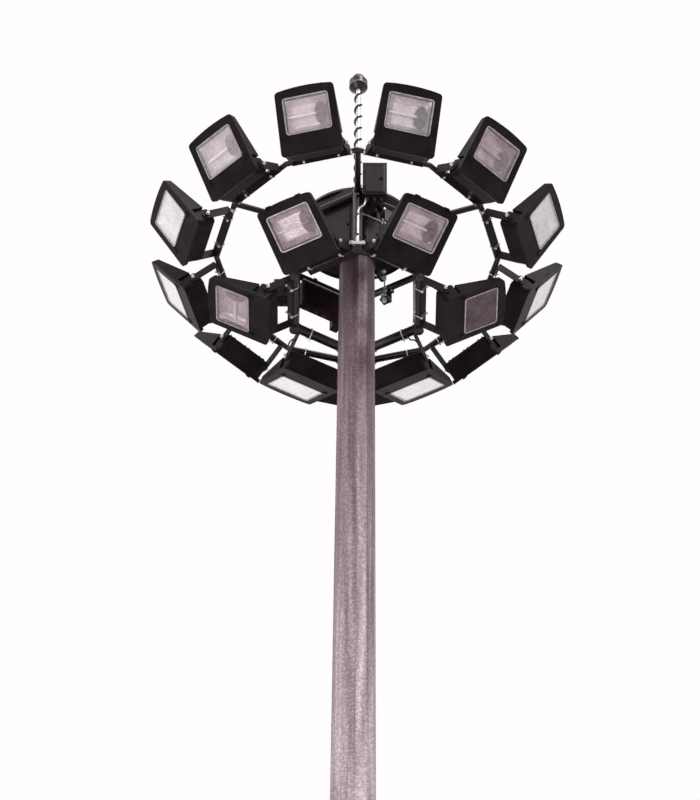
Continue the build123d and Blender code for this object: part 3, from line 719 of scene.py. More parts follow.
# ---- inside the floodlights
def model_reflector():
    """Dished reflector pressed with square facets."""
    deselect()
    bpy.ops.mesh.primitive_grid_add(
        x_subdivisions=FACETS[0],
        y_subdivisions=FACETS[1],
        size=1,
        location=(0, 0, GLASS_BACK - REFLECTOR_BEHIND_GLASS),
    )
    pan = bpy.context.object
    pan.scale = (GLASS_WIDTH - 2 * REFLECTOR_MARGIN, GLASS_HEIGHT - 2 * REFLECTOR_MARGIN, 1)
    bpy.ops.object.transform_apply(location=False, rotation=False, scale=True)
    half_width, half_height = REFLECTOR_FLOOR
    edit()
    select_faces(lambda centre, normal: abs(centre.x) < half_width and abs(centre.y) < half_height)
    bpy.ops.transform.translate(
        value=(0, 0, -REFLECTOR_DEPTH),
        use_proportional_edit=True,
        proportional_edit_falloff="SMOOTH",
        proportional_size=REFLECTOR_FLARE,
    )
    bpy.ops.mesh.select_all(action="SELECT")
    bpy.ops.mesh.poke(offset=FACET_RISE)
    done()
    return pan


def model_tube():
    """Discharge tube lying across the reflector, with rounded ends and its cap."""
    parts = [turned(TUBE_RADIUS, TUBE_LENGTH, (TUBE_MIDDLE, 0, TUBE_LEVEL), X, 16)]
    round_rims(0.005, X, 3)
    cap_middle = (TUBE_MIDDLE - TUBE_LENGTH / 2 - 0.010, 0, TUBE_LEVEL)
    parts.append(turned(TUBE_CAP_RADIUS, TUBE_CAP_LENGTH, cap_middle, X, 12))
    round_rims(0.002, X)
    return join(parts)


def model_holder():
    """Ceramic lamp holder with a stepped collar, on its oval shield pressed in rings."""
    body = turned(HOLDER_RADIUS, HOLDER_LENGTH, (HOLDER_MIDDLE, 0, TUBE_LEVEL), X, 20)
    edit()
    select_side(-X)
    step_in(0.008, -X * 0.012)
    step_in(0.006, X * 0.006)
    done()
    shield = turned(SHIELD_RADIUS, SHIELD_THICKNESS, ORIGIN, Z, 32)
    shield.scale = (SHIELD_SQUASH, 1, 1)
    shield.location = SHIELD_PLACE
    bpy.ops.object.transform_apply(location=True, rotation=False, scale=True)
    edit()
    select_side(Z)
    for border, rise in SHIELD_RINGS:
        step_in(border, Z * rise)
    done()
    return join([body, shield])


# ---- outside the floodlights
def model_glass_trim():
    """Pressed trim round the front glass, with rounded corners."""
    width, height = GLASS_WIDTH + 2 * TRIM_OVERHANG, GLASS_HEIGHT + 2 * TRIM_OVERHANG
    trim = block((width, height, TRIM_THICKNESS), (0, 0, 0.0004))
    edit()
    select_edges(lambda middle, along: abs(along.z) > 0.99)
    bevel(GLASS_CORNER, 5)
    select_ends(Z)
    bpy.ops.mesh.inset(thickness=TRIM_BORDER)
    bpy.ops.mesh.bridge_edge_loops()
    done()
    return trim


def model_ribs():
    """Cooling ribs down the sloping back, with tapered outer edges."""
    slope = math.atan2(SHELL_DEPTH - SHELL_TOP_DEPTH, FRAME_TOP - SEAM_LEVEL)
    middle = (FRAME_TOP + SEAM_LEVEL) / 2 - 0.006
    back = SHELL_TOP_DEPTH + (FRAME_TOP - middle) * math.tan(slope)
    rib = block((RIB_THICKNESS, RIB_LENGTH, RIB_HEIGHT), (-RIB_SPREAD, 0, 0))
    edit()
    select_side(-Z)
    bpy.ops.transform.resize(value=(0.6, 0.92, 1))
    done()
    row = rib.modifiers.new("row", "ARRAY")
    row.count = RIB_COUNT
    row.use_relative_offset = False
    row.use_constant_offset = True
    row.constant_offset_displace = (2 * RIB_SPREAD / (RIB_COUNT - 1), 0, 0)
    bpy.ops.object.modifier_apply(modifier="row")
    rib.rotation_euler.x = slope
    rib.location = (-RIB_SPREAD, middle, -(back + RIB_HEIGHT / 2 - 0.0015))
    settle(rib)
    return rib


def model_gear_cover():
    """Screwed plate on the back of the gear box, with a cable gland above it."""
    level = -GEAR_BOX_DEPTH - 0.002
    parts = [panel(GEAR_COVER_SIZE, (0, GEAR_BOX_MIDDLE, level), -Z, 0.012, 0.0015)]
    for across in (-GEAR_SCREW_SPREAD, 0, GEAR_SCREW_SPREAD):
        for side in (-GEAR_SCREW_RISE, GEAR_SCREW_RISE):
            spot = (across, GEAR_BOX_MIDDLE + side, -GEAR_BOX_DEPTH - 0.004)
            parts.append(hex_bolt(0.010, spot, -Z))
    parts.append(gland(0.012, (0.13, GEAR_BOX_TOP - 0.001, -0.171), Y))
    return join(parts)


def model_latches():
    """Two spring clips that hold the glass frame at its lower edge."""
    parts = []
    for across in (-LATCH_SPREAD, LATCH_SPREAD):
        parts.append(bevelled_block((0.026, 0.052, 0.007), (across, SEAM_LEVEL, 0.0035), 0.002))
        parts.append(turned(0.0045, 0.034, (across, SEAM_LEVEL - 0.019, 0.007), X, 12))
    return join(parts)


def model_hinges():
    """Two knuckles of the glass frame at its upper edge."""
    level = FRAME_TOP - 0.008
    parts = []
    for across in (-HINGE_SPREAD, HINGE_SPREAD):
        parts.append(turned(0.008, 0.050, (across, level, -0.022), X, 14))
        round_rims(0.002, X)
        parts.append(bevelled_block((0.042, 0.020, 0.004), (across, level - 0.010, -0.002), 0.001))
    return join(parts)


def model_pivot_nuts():
    """Hexagon nuts outside the stirrup arms, on the two tilt pins."""
    parts = []
    for side in (-1, 1):
        spot = (side * PIVOT_OUTSIDE, -PIVOT_BELOW_GLASS, -PIVOT_BEHIND_GLASS)
        parts.append(hex_bolt(0.024, spot, side * X))
    return join(parts)


fit_to_lamps(model_reflector(), "reflector", REFLECTOR)
fit_to_lamps(model_tube(), "tube", QUARTZ)
fit_to_lamps(model_holder(), "lamp_holder", CERAMIC)
for lamp in LAMPS_WITH_BURNT_HOLDERS:
    bpy.data.objects[f"{lamp}_lamp_holder"].material_slots[0].material = BURNT_CERAMIC
fit_to_lamps(model_glass_trim(), "glass_trim", TRIM)
fittings = join([model_ribs(), model_gear_cover(), model_latches(), model_hinges()])
fit_to_lamps(fittings, "fittings", HOUSING_PAINT)
fit_to_lamps(model_pivot_nuts(), "pivot_nuts", BRIGHT)

# ---- sizes read from the frame
ring_low, ring_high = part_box("outer_ring")
post_low, post_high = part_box("cage_posts")
upper_low, upper_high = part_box("upper_hexagon")
lower_low, lower_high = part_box("lower_hexagon")
cover_low, cover_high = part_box("head_cover")
lug_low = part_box("rope_lugs")[0]
sheave_low, sheave_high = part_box("sheaves")
cabinet_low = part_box("control_cabinet")[0]
feed_low, feed_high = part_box("feed_box")
rod_low, rod_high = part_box("finial_rod")
beacon_low, beacon_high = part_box("beacon_body")

COS_30, COS_15 = math.cos(math.radians(30)), math.cos(math.radians(15))
SIN_15 = math.sin(math.radians(15))
RING_LEVEL = (ring_low.z + ring_high.z) / 2
RING_BAR = (ring_high.z - ring_low.z) / 2
RING_RADIUS = ring_high.y - RING_BAR / COS_15
RING_APOTHEM = RING_RADIUS * COS_15
UPPER_LEVEL = (upper_low.z + upper_high.z) / 2
UPPER_BAR = (upper_high.z - upper_low.z) / 2
LOWER_LEVEL = (lower_low.z + lower_high.z) / 2
LOWER_BAR = (lower_high.z - lower_low.z) / 2
CAGE_RADIUS = (post_high.y - post_high.x) / (1 - COS_30)
CAGE_APOTHEM = CAGE_RADIUS * COS_30
POST_RADIUS = post_high.y - CAGE_RADIUS
POST_MIDDLE = (post_low.z + post_high.z) / 2
POST_HALF = (post_high.z - post_low.z) / 2
BAR_INSIDE = CAGE_APOTHEM - UPPER_BAR - 0.0003
ROPE_DROP = CAGE_APOTHEM - UPPER_BAR - 0.022
SHEAVE_LEVEL = (sheave_low.z + sheave_high.z) / 2
SIXTHS = [60.0 * step for step in range(6)]
TWELFTHS = [30.0 * step for step in range(12)]
OUTER_AZIMUTHS = [15.0 + azimuth for azimuth in TWELFTHS]
INNER_AZIMUTHS = [30.0 + azimuth for azimuth in SIXTHS]
ROPE_AZIMUTHS = (30.0, 150.0, 270.0)
upper_corners = places_round(SIXTHS, CAGE_RADIUS, UPPER_LEVEL)
lower_corners = places_round(SIXTHS, CAGE_RADIUS, LOWER_LEVEL)
ring_corners = places_round(SIXTHS, RING_RADIUS, RING_LEVEL)
post_middles = places_round(SIXTHS, CAGE_RADIUS, POST_MIDDLE)
ring_webs = places_round(OUTER_AZIMUTHS, RING_APOTHEM, RING_LEVEL, STIRRUP_DROP)
cage_webs = places_round(INNER_AZIMUTHS, CAGE_APOTHEM, LOWER_LEVEL, STIRRUP_DROP)


# ---- stirrup clamps
def model_u_bolts(bar):
    """Two U-bolts round a bar, their legs through the stirrup's web, with nuts."""
    web_back = bar + WEB_BEHIND_BAR
    bend = bar + U_BOLT_ROD
    parts = []
    for across in (-U_BOLT_SPREAD, U_BOLT_SPREAD):
        parts.append(bead(bend, U_BOLT_ROD, (across, 0, 0), X, BEAD_SIDES))
        edit()
        select_faces(lambda centre, normal: centre.z > 0.0)
        bpy.ops.mesh.delete(type="FACE")
        bpy.ops.mesh.select_all(action="SELECT")
        bpy.ops.mesh.region_to_loop()
        leg = (0, 0, web_back + U_BOLT_END)
        bpy.ops.mesh.extrude_region_move(TRANSFORM_OT_translate={"value": leg})
        bpy.ops.mesh.edge_face_add()
        done()
        for level in (-bend, bend):
            parts.append(hex_bolt(0.019, (across, level, web_back), Z))
    return join(parts)


def model_clamp_plates(bar):
    """Two stiffening plates on the stirrup's web, under the nuts of its U-bolts."""
    parts = []
    for across in (-U_BOLT_SPREAD, U_BOLT_SPREAD):
        spot = (across, 0, bar + PLATE_BEHIND_BAR)
        parts.append(bevelled_block((0.046, 0.076, 0.003), spot, 0.001, 1))
    return join(parts)


fit_round(model_u_bolts(RING_BAR), "ring_clamps", ring_webs, *BRIGHT_STEEL)
fit_round(model_u_bolts(LOWER_BAR), "cage_clamps", cage_webs, *BRIGHT_STEEL)
fit_round(model_clamp_plates(RING_BAR), "ring_plates", ring_webs, *PAINTED)
fit_round(model_clamp_plates(LOWER_BAR), "cage_plates", cage_webs, *PAINTED)


# ---- welds and caps of the carriage
def model_corner_welds(bar):
    """Weld beads where two bars meet a post."""
    parts = []
    for side in (-1, 1):
        along = Vector((side * COS_30, 0, -0.5))
        spot = along * (POST_RADIUS - WELD_SINK)
        parts.append(bead(bar + WELD_SINK, 0.005, spot, along, BEAD_SIDES))
    return join(parts)


def model_arm_welds():
    """Weld beads at the two ends of a radial arm, seen from its post."""
    arm = Vector((0, RING_LEVEL - UPPER_LEVEL, RING_RADIUS - CAGE_RADIUS))
    along = arm.normalized()
    ends = (POST_RADIUS, math.hypot(arm.y, arm.z) - RING_BAR)
    return join(
        [bead(ARM_RADIUS + WELD_SINK, 0.005, along * end, along, BEAD_SIDES) for end in ends]
    )


def model_post_caps():
    """Domed caps on the two ends of a post, seen from its middle."""
    radius = POST_RADIUS - 0.001
    parts = []
    for side in (-1, 1):
        middle = (0, side * (POST_HALF + 0.004), 0)
        parts.append(crowned(radius, 0.010, middle, side * Y, BEAD_SIDES, 0.010, 0.005))
        parts.append(bead(radius, 0.003, (0, side * POST_HALF, 0), Y, BEAD_SIDES))
    return join(parts)


def model_ring_saddles():
    """Clamp straps on the ring, one each side of an arm, with their bolts."""
    parts = []
    for side in (-1, 1):
        along = Vector((side * COS_15, 0, -SIN_15))
        spot = along * SADDLE_FROM_ARM
        parts.append(collar(RING_BAR, RING_BAR + SADDLE_THICKNESS, 0.032, spot, along, 20))
        lug = spot + Vector((0, -RING_BAR - 0.012, 0))
        parts.append(bevelled_block((0.030, 0.024, 0.014), lug, 0.002, 1))
        parts.append(hex_bolt(0.014, lug + Z * 0.007, Z))
    return join(parts)


fit_round(model_corner_welds(UPPER_BAR), "upper_welds", upper_corners, *PAINTED)
fit_round(model_corner_welds(LOWER_BAR), "lower_welds", lower_corners, *PAINTED)
fit_round(model_arm_welds(), "arm_welds", upper_corners, *PAINTED)
fit_round(model_post_caps(), "post_caps", post_middles, *PAINTED)
fit_round(model_ring_saddles(), "ring_saddles", ring_corners, *BRIGHT_STEEL)


# ---- boxes on the carriage
def model_box_front(width, height, hinges):
    """Lid with a pressed border, knuckles down one side and a turn lock."""
    parts = [panel((width, height, 0.006), (0, 0, 0.003), Z, 0.018, 0.003)]
    for step in range(hinges):
        level = height * ((step + 0.5) / hinges - 0.5)
        parts.append(turned(0.007, 0.045, (-width / 2 - 0.004, level, 0.005), Y, 12))
        round_rims(0.002, Y)
    parts.append(recessed(0.016, 0.010, (width / 2 - 0.030, 0, 0.008), 20, 0.005, 0.004))
    return join(parts)


def model_glands(depth, spots, radius=0.014):
    """Cable glands under a box, at spots across its underside."""
    return join([gland(radius, (across, 0, depth), -Y) for across in spots])


CABINET_LID_HEIGHT = UPPER_LEVEL - 0.09 - cabinet_low.z
CABINET_LEVEL = (cabinet_low.z + UPPER_LEVEL - 0.05) / 2
SWITCH_TOP = UPPER_LEVEL - 0.195
SWITCH_LEVEL = (SWITCH_TOP + feed_low.z) / 2
FUSE_TOP, FUSE_HEIGHT, FUSE_BACK = UPPER_LEVEL - 0.070, 0.285, BAR_INSIDE - 0.010
FUSE_FOOT = FUSE_TOP - FUSE_HEIGHT
FEED_WIDTH, FEED_HEIGHT = 0.205, 0.410
FEED_FOOT = feed_high.z - FEED_HEIGHT
FEED_SHIFT = POST_RADIUS + FEED_WIDTH / 2
SPLICE_HEIGHT, SPLICE_OUT, SPLICE_SHIFT = 0.255, -0.260, -0.6405
SPLICE_LEVEL = UPPER_LEVEL - 0.110 - SPLICE_HEIGHT / 2
SPLICE_FOOT = SPLICE_LEVEL - SPLICE_HEIGHT / 2

# The lid: name, width, height and hinges, distance and level. The glands: name, how far out
# of their place they sit, their spots and radius, distance and level. Azimuth and shift of both.
BOXES = (
    (
        ("cabinet_door", (0.45, CABINET_LID_HEIGHT, 3), BAR_INSIDE, CABINET_LEVEL),
        ("cabinet_glands", (-0.07, (-0.16, -0.06, 0.05, 0.16)), BAR_INSIDE, cabinet_low.z),
        (CABINET_AZIMUTH, 0.0),
    ),
    (
        ("switch_box_lid", (0.145, 0.33, 2), BAR_INSIDE, SWITCH_LEVEL),
        ("switch_box_glands", (-0.04, (-0.045, 0.0, 0.045), 0.012), BAR_INSIDE, feed_low.z),
        (SWITCH_AZIMUTH, -0.131),
    ),
    (
        ("fuse_box_lid", (0.46, 0.245, 3), FUSE_BACK, FUSE_TOP - FUSE_HEIGHT / 2),
        ("fuse_box_glands", (0.03, (-0.18, 0.02, 0.10, 0.18)), BAR_INSIDE, FUSE_FOOT),
        (FUSE_AZIMUTH, 0.0),
    ),
    (
        ("feed_box_lid", (0.175, 0.375, 2), -feed_low.y, FEED_FOOT + FEED_HEIGHT / 2),
        ("feed_box_glands", (-0.045, (-0.06, 0.0, 0.06)), -feed_low.y, FEED_FOOT),
        (0.0, FEED_SHIFT),
    ),
    (
        ("splice_box_lid", (0.115, 0.225, 2), SPLICE_OUT, SPLICE_LEVEL),
        ("splice_box_glands", (-0.045, (-0.03, 0.03)), SPLICE_OUT, SPLICE_FOOT),
        (0.0, SPLICE_SHIFT),
    ),
)
for (lid_name, lid, lid_out, lid_level), glands_row, (azimuth, shift) in BOXES:
    glands_name, glands, glands_out, glands_level = glands_row
    front = shifted(round_place(azimuth, lid_out, lid_level), shift)
    if azimuth == FUSE_AZIMUTH:
        front = front @ Matrix.Rotation(math.pi, 4, "Y")  # its lid faces the mast
    one_off(model_box_front(*lid), lid_name, front, *LIDS)
    below = shifted(round_place(azimuth, glands_out, glands_level), shift)
    one_off(model_glands(*glands), glands_name, below, *RUBBERED)


# ---- wiring on the carriage
def at_azimuth(azimuth, spots):
    """Points given along the tangent, outwards and up, at an azimuth."""
    place = round_place(azimuth, 0.0, 0.0)
    return [place @ Vector((across, level, out)) for across, out, level in spots]


# Rigid conduits and clipped leads, each bent in one sweep: radius, slot and finish, and the
# points that draw it.
WIRING = {
    # Painted highlights: the three post conduits are bright strips, brown on the right post,
    # standing in for highlights down the posts.
    "post_highlight_conduit": (0.008, BRIGHT_STEEL, [
        (0.070, -0.672, 30.100), (0.070, -0.672, 30.020), (0.012, -0.668, 29.975),
        (0.004, -0.665, 29.900), (0.004, -0.665, 29.720), (0.004, -0.665, 29.600),
        (0.004, -0.665, 29.530),
    ]),
    "left_post_highlight_conduit": (0.009, BRIGHT_STEEL, [
        (-0.520, 0.275, 30.190), (-0.528, 0.256, 30.150), (-0.528, 0.256, 30.060),
        (-0.528, 0.256, 29.760), (-0.528, 0.256, 29.670), (-0.520, 0.270, 29.610),
    ]),
    "right_post_highlight_conduit": (0.009, BROWNED, [
        (0.485, 0.290, 30.190), (0.490, 0.278, 30.140), (0.490, 0.275, 30.060),
        (0.490, 0.275, 29.760), (0.490, 0.278, 29.670), (0.485, 0.290, 29.610),
    ]),
    "left_ring_lead": (0.007, RUBBERED, [
        (-0.480, 0.345, 29.530), (-0.502, 0.335, 29.480), (-0.520, 0.380, 29.490),
        (-0.550, 0.460, 29.569), (-0.585, 0.700, 29.780), (-0.591, 1.000, 30.046),
        (-0.597, 1.035, 30.085),
    ]),
    "right_ring_lead": (0.007, RUBBERED, [
        (0.425, 0.372, 29.530), (0.442, 0.345, 29.475), (0.462, 0.390, 29.490),
        (0.490, 0.460, 29.581), (0.536, 0.700, 29.792), (0.552, 1.000, 30.059),
        (0.590, 1.032, 30.085),
    ]),
    "switch_lead": (0.006, BRIGHT_STEEL, at_azimuth(SWITCH_AZIMUTH, [
        (-0.055, 0.515, 30.062), (-0.028, 0.515, 30.040), (0.000, 0.515, 29.960),
        (-0.005, 0.515, 29.840), (-0.045, 0.515, 29.740), (-0.100, 0.512, 29.700),
        (-0.128, 0.505, 29.712),
    ])),
}
for name, (radius, (slot, finish), points) in WIRING.items():
    tube = bent_tube(points, radius)
    smooth(tube, 60)
    hand_over(tube, name, "pylon", finish)


# ---- clamps, rails and clips
def model_post_foot_clamp():
    """Wide clamp under the front post, with its upright tongue and two bolts."""
    parts = [bevelled_block((0.135, 0.030, 0.012), ORIGIN, 0.003, 1)]
    parts.append(bevelled_block((0.026, 0.080, 0.008), (0, 0.040, 0.002), 0.002, 1))
    for across in (-0.048, 0.048):
        parts.append(hex_bolt(0.016, (across, 0, 0.006), Z))
    return join(parts)


def model_post_clips():
    """Saddle clips that hold the conduit to the front post."""
    parts = []
    for level in (-0.26, 0.0, 0.26):
        parts.append(collar(POST_RADIUS, POST_RADIUS + 0.003, 0.024, (0, level, 0), Y, 28))
        parts.append(collar(0.008, 0.011, 0.024, (0.004, level, 0.055), Y, 14))
    return join(parts)


one_off(
    model_post_foot_clamp(),
    "post_foot_clamp",
    round_place(0.0, CAGE_RADIUS + POST_RADIUS + 0.012, LOWER_LEVEL - 0.030),
    *BRIGHT_STEEL,
)
# Partly painted highlight: a rail over the switch box, made bright for the highlight along the
# strut there.
one_off(
    bevelled_block((0.23, 0.006, 0.030), ORIGIN, 0.002, 1),
    "switch_box_highlight_rail",
    shifted(round_place(SWITCH_AZIMUTH, BAR_INSIDE - 0.005, SWITCH_TOP + 0.003), -0.150),
    *BRIGHT_STEEL,
)
clips_place = round_place(0.0, CAGE_RADIUS, LOWER_LEVEL + 0.33)
one_off(model_post_clips(), "post_clips", clips_place, *PAINTED)
# Painted highlight: a bright rail over the fuse box stands in for the highlight along the bar
# above it.
one_off(
    bevelled_block((0.50, 0.014, 0.030), ORIGIN, 0.003, 1),
    "fuse_box_highlight_rail",
    round_place(FUSE_AZIMUTH, FUSE_BACK + 0.006, FUSE_TOP + 0.007),
    *BRIGHT_STEEL,
)


# ---- rope head
def model_rope_socket():
    """Wedge socket on its shelf, with a nut below and two rope clips above."""
    cone = turned(0.019, 0.085, (0, 0.0425, 0), Y, 20)
    edit()
    select_side(Y)
    bpy.ops.transform.resize(value=(0.52, 1, 0.52))
    bpy.ops.mesh.inset(thickness=0.002)
    done()
    parts = [cone, hex_bolt(0.034, (0, -0.014, 0), -Y)]
    for level in (0.105, 0.150):
        parts.append(bevelled_block((0.030, 0.016, 0.012), (0, level, 0.008), 0.002, 1))
        for across in (-0.010, 0.010):
            parts.append(hex_bolt(0.009, (across, level, 0.014), Z))
    return join(parts)


def model_lug_bolts():
    """Four bolts through the head of a rope lug."""
    corners = [(across, facing) for across in (-0.047, 0.047) for facing in (-1, 1)]
    return join([hex_bolt(0.018, (across, 0, side * 0.007), side * Z) for across, side in corners])


def model_sheave_nuts():
    """Nuts on the two ends of a sheave pin."""
    return join([hex_bolt(0.034, (side * SHEAVE_NUT_SIDE, 0, 0), side * X) for side in (-1, 1)])


socket_places = places_round(ROPE_AZIMUTHS, ROPE_DROP, lug_low.z + 0.014)
lug_places = places_round(ROPE_AZIMUTHS, CAGE_APOTHEM, UPPER_LEVEL - 0.057)
sheave_places = [
    round_place(azimuth, distance, SHEAVE_LEVEL)
    for azimuth in ROPE_AZIMUTHS
    for distance in (SHEAVE_INNER, ROPE_DROP - ROPE_BEND)
]
fit_round(model_rope_socket(), "rope_sockets", socket_places, *BRIGHT_STEEL)
fit_round(model_lug_bolts(), "lug_bolts", lug_places, *BRIGHT_STEEL)
fit_round(model_sheave_nuts(), "sheave_nuts", sheave_places, *BRIGHT_STEEL)

# ---- head cover, rod and beacon
COVER_SLOPE = math.atan2(COVER_RISE, COVER_RUN)
COVER_MIDDLE = cover_high.z - COVER_RUN / 2 * math.tan(COVER_SLOPE)
ROD_FOOT = rod_low.z + ROD_FOOT_THICKNESS


def model_cover_seam():
    """Standing seam down the slope of the head cover."""
    seam = block((0.007, 0.010, 0.405), ORIGIN)
    edit()
    select_edges(lambda middle, along: middle.y > 0)
    bevel(0.002, 2)
    done()
    seam.rotation_euler.x = COVER_SLOPE
    seam.location = (0, 0, 0.315)
    return seam


def model_rod_socket():
    """Socket at the rod's foot, with its weld."""
    return join([bead(0.022, 0.004, ORIGIN, Y), collar(0.021, 0.026, 0.05, (0, 0.026, 0), Y)])


def model_rod_lead():
    """Beacon lead wound round the rod."""
    deselect()
    bpy.ops.mesh.primitive_circle_add(
        vertices=8, radius=ROD_LEAD_RADIUS, location=(ROD_LEAD_SWEEP, 0, 0)
    )
    lead = bpy.context.object
    lead.rotation_euler.x = math.pi / 2
    bpy.ops.object.transform_apply(location=True, rotation=True, scale=False)
    winding = lead.modifiers.new("winding", "SCREW")
    winding.screw_offset = (rod_high.z - ROD_FOOT - 2 * ROD_LEAD_END) / ROD_LEAD_TURNS
    winding.iterations = ROD_LEAD_TURNS
    winding.steps = 24
    winding.render_steps = 24
    bpy.ops.object.modifier_apply(modifier="winding")
    edit()
    bpy.ops.mesh.select_all(action="SELECT")
    bpy.ops.mesh.normals_make_consistent(inside=False)
    done()
    settle(lead)
    lead.location.z = ROD_FOOT + ROD_LEAD_END
    return lead


def model_beacon_fittings():
    """Clamp ring of the beacon's lens with its screws, and the socket's pinch bolts."""
    top, foot = beacon_high.z, beacon_low.z
    parts = [bead(0.060, 0.0045, (0, 0, top), Z, 40)]
    for place in places_round(SIXTHS, 0.072, top - 0.009):
        parts.append(hex_bolt(0.008, place.translation, Z))
    for place in places_round((0.0, 120.0, 240.0), 0.033, foot + 0.012):
        parts.append(hex_bolt(0.012, place.translation, place.to_3x3() @ Z))
    parts.append(bead(beacon_high.x - 0.001, 0.003, (0, 0, foot + 0.045), Z, 40))
    return join(parts)


seam_places = places_round(OUTER_AZIMUTHS, 0.0, COVER_MIDDLE)
fit_round(model_cover_seam(), "cover_seams", seam_places, *DULL_STEEL)
cover_rim = bead(cover_high.x - 0.001, 0.005, ORIGIN, Y, 72)
one_off(cover_rim, "cover_rim", round_place(0.0, 0.0, cover_low.z + 0.004), *DULL_STEEL)
rod_bolt_places = places_round(SIXTHS, 0.053, ROD_FOOT)
fit_round(hex_bolt(0.017, ORIGIN, Y), "rod_bolts", rod_bolt_places, *BRIGHT_STEEL)
rod_foot_place = round_place(0.0, 0.0, ROD_FOOT)
one_off(model_rod_socket(), "rod_socket", rod_foot_place, "bright_rod", BRIGHT)
one_off(model_rod_lead(), "rod_lead", AS_MODELLED, *RUBBERED)
one_off(model_beacon_fittings(), "beacon_fittings", AS_MODELLED, *BRIGHT_STEEL)

# ---- mast and foot
SECTIONS = ("mast_lower", "mast_middle", "mast_upper")
FLANGE_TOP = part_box("mast_lower")[0].z


def shaft_radius(node):
    """Corner radius of a mast section at its lower edge."""
    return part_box(node)[1].x / math.cos(math.radians(MAST_TURN))


def corner_seam(node, azimuth):
    """Long weld down one corner of a mast section."""
    low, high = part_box(node)
    foot = shaft_radius(node)
    head = foot - SHAFT_NARROWING / COS_15 * (high.z - low.z)
    start = round_place(azimuth, foot - WELD_SINK, low.z + 0.002).translation
    end = round_place(azimuth, head - WELD_SINK, high.z - 0.002).translation
    return turned(0.004, (end - start).length, (start + end) / 2, end - start, 8)


def section_collar(section):
    """Twelve-sided band round the lower edge of a slipped-on section."""
    radius = shaft_radius(section)
    middle = (0, 0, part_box(section)[0].z + 0.027)
    return collar(radius - 0.001, radius + 0.005, 0.050, middle, Z, MAST_SIDES)


def model_anchor():
    """Anchor stud with its washer, nut and lock nut."""
    parts = [turned(0.018, 0.148, (0, 0.030, 0), Y, 16)]
    round_rims(0.003, Y)
    parts.append(hex_bolt(0.052, ORIGIN, Y))
    parts.append(turned(0.029, 0.018, (0, 0.052, 0), Y, 6))
    round_rims(0.002, Y)
    return join(parts)


def model_gusset_welds():
    """Welds along the foot of a gusset, on both its sides."""
    return join([block((0.008, 0.008, 0.150), (side * 0.009, 0.003, 0.322)) for side in (-1, 1)])


for section in SECTIONS:
    seams = join([corner_seam(section, azimuth) for azimuth in SEAM_AZIMUTHS])
    one_off(seams, f"{section}_seams", AS_MODELLED, *DULL_STEEL)
for section in SECTIONS[1:]:
    one_off(section_collar(section), f"{section}_collar", AS_MODELLED, *DULL_STEEL)
foot_weld = bead(shaft_radius("mast_lower"), 0.009, (0, 0, FLANGE_TOP + 0.003), Z, MAST_SIDES)
one_off(foot_weld, "foot_weld", AS_MODELLED, *DULL_STEEL)
anchor_azimuths = [MAST_TURN + azimuth for azimuth in TWELFTHS]
anchor_places = places_round(anchor_azimuths, ANCHOR_CIRCLE, FLANGE_TOP)
fit_round(model_anchor(), "anchors", anchor_places, *BRIGHT_STEEL)
gusset_places = places_round([15.0 + azimuth for azimuth in anchor_azimuths], 0.0, FLANGE_TOP)
fit_round(model_gusset_welds(), "gusset_welds", gusset_places, *DULL_STEEL)


# ---- door and earth boss
def furthest(node, azimuth):
    """Furthest distance of a node along an azimuth."""
    outward = round_place(azimuth, 1.0, 0.0).translation
    return max(outward.dot(vertex.co) for vertex in frame["nodes"][node].data.vertices)


def model_door_fittings():
    """Hinge knuckles, key socket and screws of the service door."""
    parts = []
    for level in (-0.19, 0.19):
        parts.append(turned(0.008, 0.060, (-0.052, level, 0.004), Y, 14))
        round_rims(0.002, Y)
        parts.append(bevelled_block((0.034, 0.050, 0.004), (-0.036, level, 0.002), 0.001, 1))
    parts.append(recessed(0.017, 0.010, (0.026, 0, 0.004), 24, 0.006, 0.006))
    for across, level in ((0, 0.285), (0, -0.285), (0.036, 0.16), (0.036, -0.16)):
        parts.append(hex_bolt(0.013, (across, level, 0), Z))
    return join(parts)


def model_earth_boss():
    """Welded boss with the bolt for the earth wire."""
    return join(
        [bevelled_block((0.05, 0.05, 0.02), ORIGIN, 0.003), hex_bolt(0.022, (0, 0, 0.01), Z)]
    )


door_low, door_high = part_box("service_door")
door_face = furthest("service_door", DOOR_AZIMUTH)
door_place = round_place(DOOR_AZIMUTH, door_face, (door_low.z + door_high.z) / 2)
earth_place = round_place(EARTH_AZIMUTH, EARTH_DISTANCE, EARTH_LEVEL)
one_off(model_door_fittings(), "door_fittings", door_place, *BRIGHT_STEEL)
one_off(model_earth_boss(), "earth_boss", earth_place, *BRIGHT_STEEL)

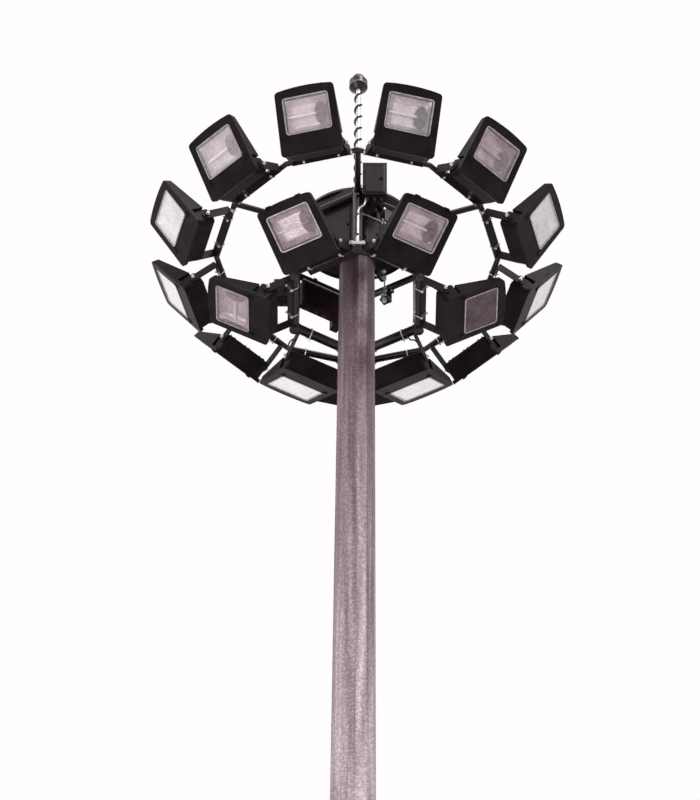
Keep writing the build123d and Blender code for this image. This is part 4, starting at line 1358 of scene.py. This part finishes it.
# ---- stage, light and camera
deselect()
bpy.ops.mesh.primitive_plane_add(size=400, location=ORIGIN)
floor = bpy.context.object
floor.name = "stage_floor"
floor.visible_shadow = False
floor_paint, floor_shader, _ = new_finish("stage_floor", 0.9)
wired(floor_shader, Base_Color=(0.86, 0.855, 0.85, 1))
floor.data.materials.append(floor_paint)

# The sky is white where it is seen, straight or in glass and metal, and dimmer as a light.
world = bpy.data.worlds.new("pale_sky")
bpy.context.scene.world = world
world.use_nodes = True
sky = world.node_tree
sky_light = wired(sky.nodes["Background"], Color=(1.0, 0.98, 0.985, 1))
rays = sky.nodes.new("ShaderNodeLightPath")
seen = rays.outputs["Is Camera Ray"]
for other in ("Is Glossy Ray", "Is Transmission Ray"):
    either = beside(seen, "Math")
    either.operation = "MAXIMUM"
    sky.links.new(seen, either.inputs[0])
    sky.links.new(rays.outputs[other], either.inputs[1])
    seen = either.outputs[0]
wired(sky_light, Strength=spread(seen, To_Min=0.42, To_Max=1.0))


def soft_sun(name, azimuth, elevation, strength, spread_angle):
    """Broad soft light from an azimuth and an elevation."""
    lamp = bpy.data.lights.new(name, "SUN")
    lamp.energy = strength
    lamp.angle = math.radians(spread_angle)
    light = bpy.data.objects.new(name, lamp)
    bpy.context.scene.collection.objects.link(light)
    tip = math.radians(elevation)
    towards = round_place(azimuth, math.cos(tip), math.sin(tip)).translation
    light.rotation_mode = "QUATERNION"
    light.rotation_quaternion = towards.to_track_quat("Z", "Y")


soft_sun("key_light", 34, 48, 1.9, 18)
soft_sun("fill_light", -70, 35, 0.7, 30)
soft_sun("ground_glow", -48, -46, 0.9, 16)

CAMERA_PLACE = (0, -24.745, 1.6)
CAMERA_TILT = 47.195
CAMERA_YAW = 0.115
CAMERA_ROLL = 0.519
view = bpy.data.cameras.new("camera")
view.lens = 198.8
view.sensor_width = 36
view.clip_end = 500
camera = bpy.data.objects.new("camera", view)
bpy.context.scene.collection.objects.link(camera)
camera.matrix_world = (
    Matrix.Translation(CAMERA_PLACE)
    @ Matrix.Rotation(math.radians(CAMERA_YAW), 4, "Z")
    @ Matrix.Rotation(math.radians(90 + CAMERA_TILT), 4, "X")
    @ Matrix.Rotation(math.radians(CAMERA_ROLL), 4, "Z")
)
bpy.context.scene.camera = camera
bpy.context.scene.view_settings.view_transform = "Standard"
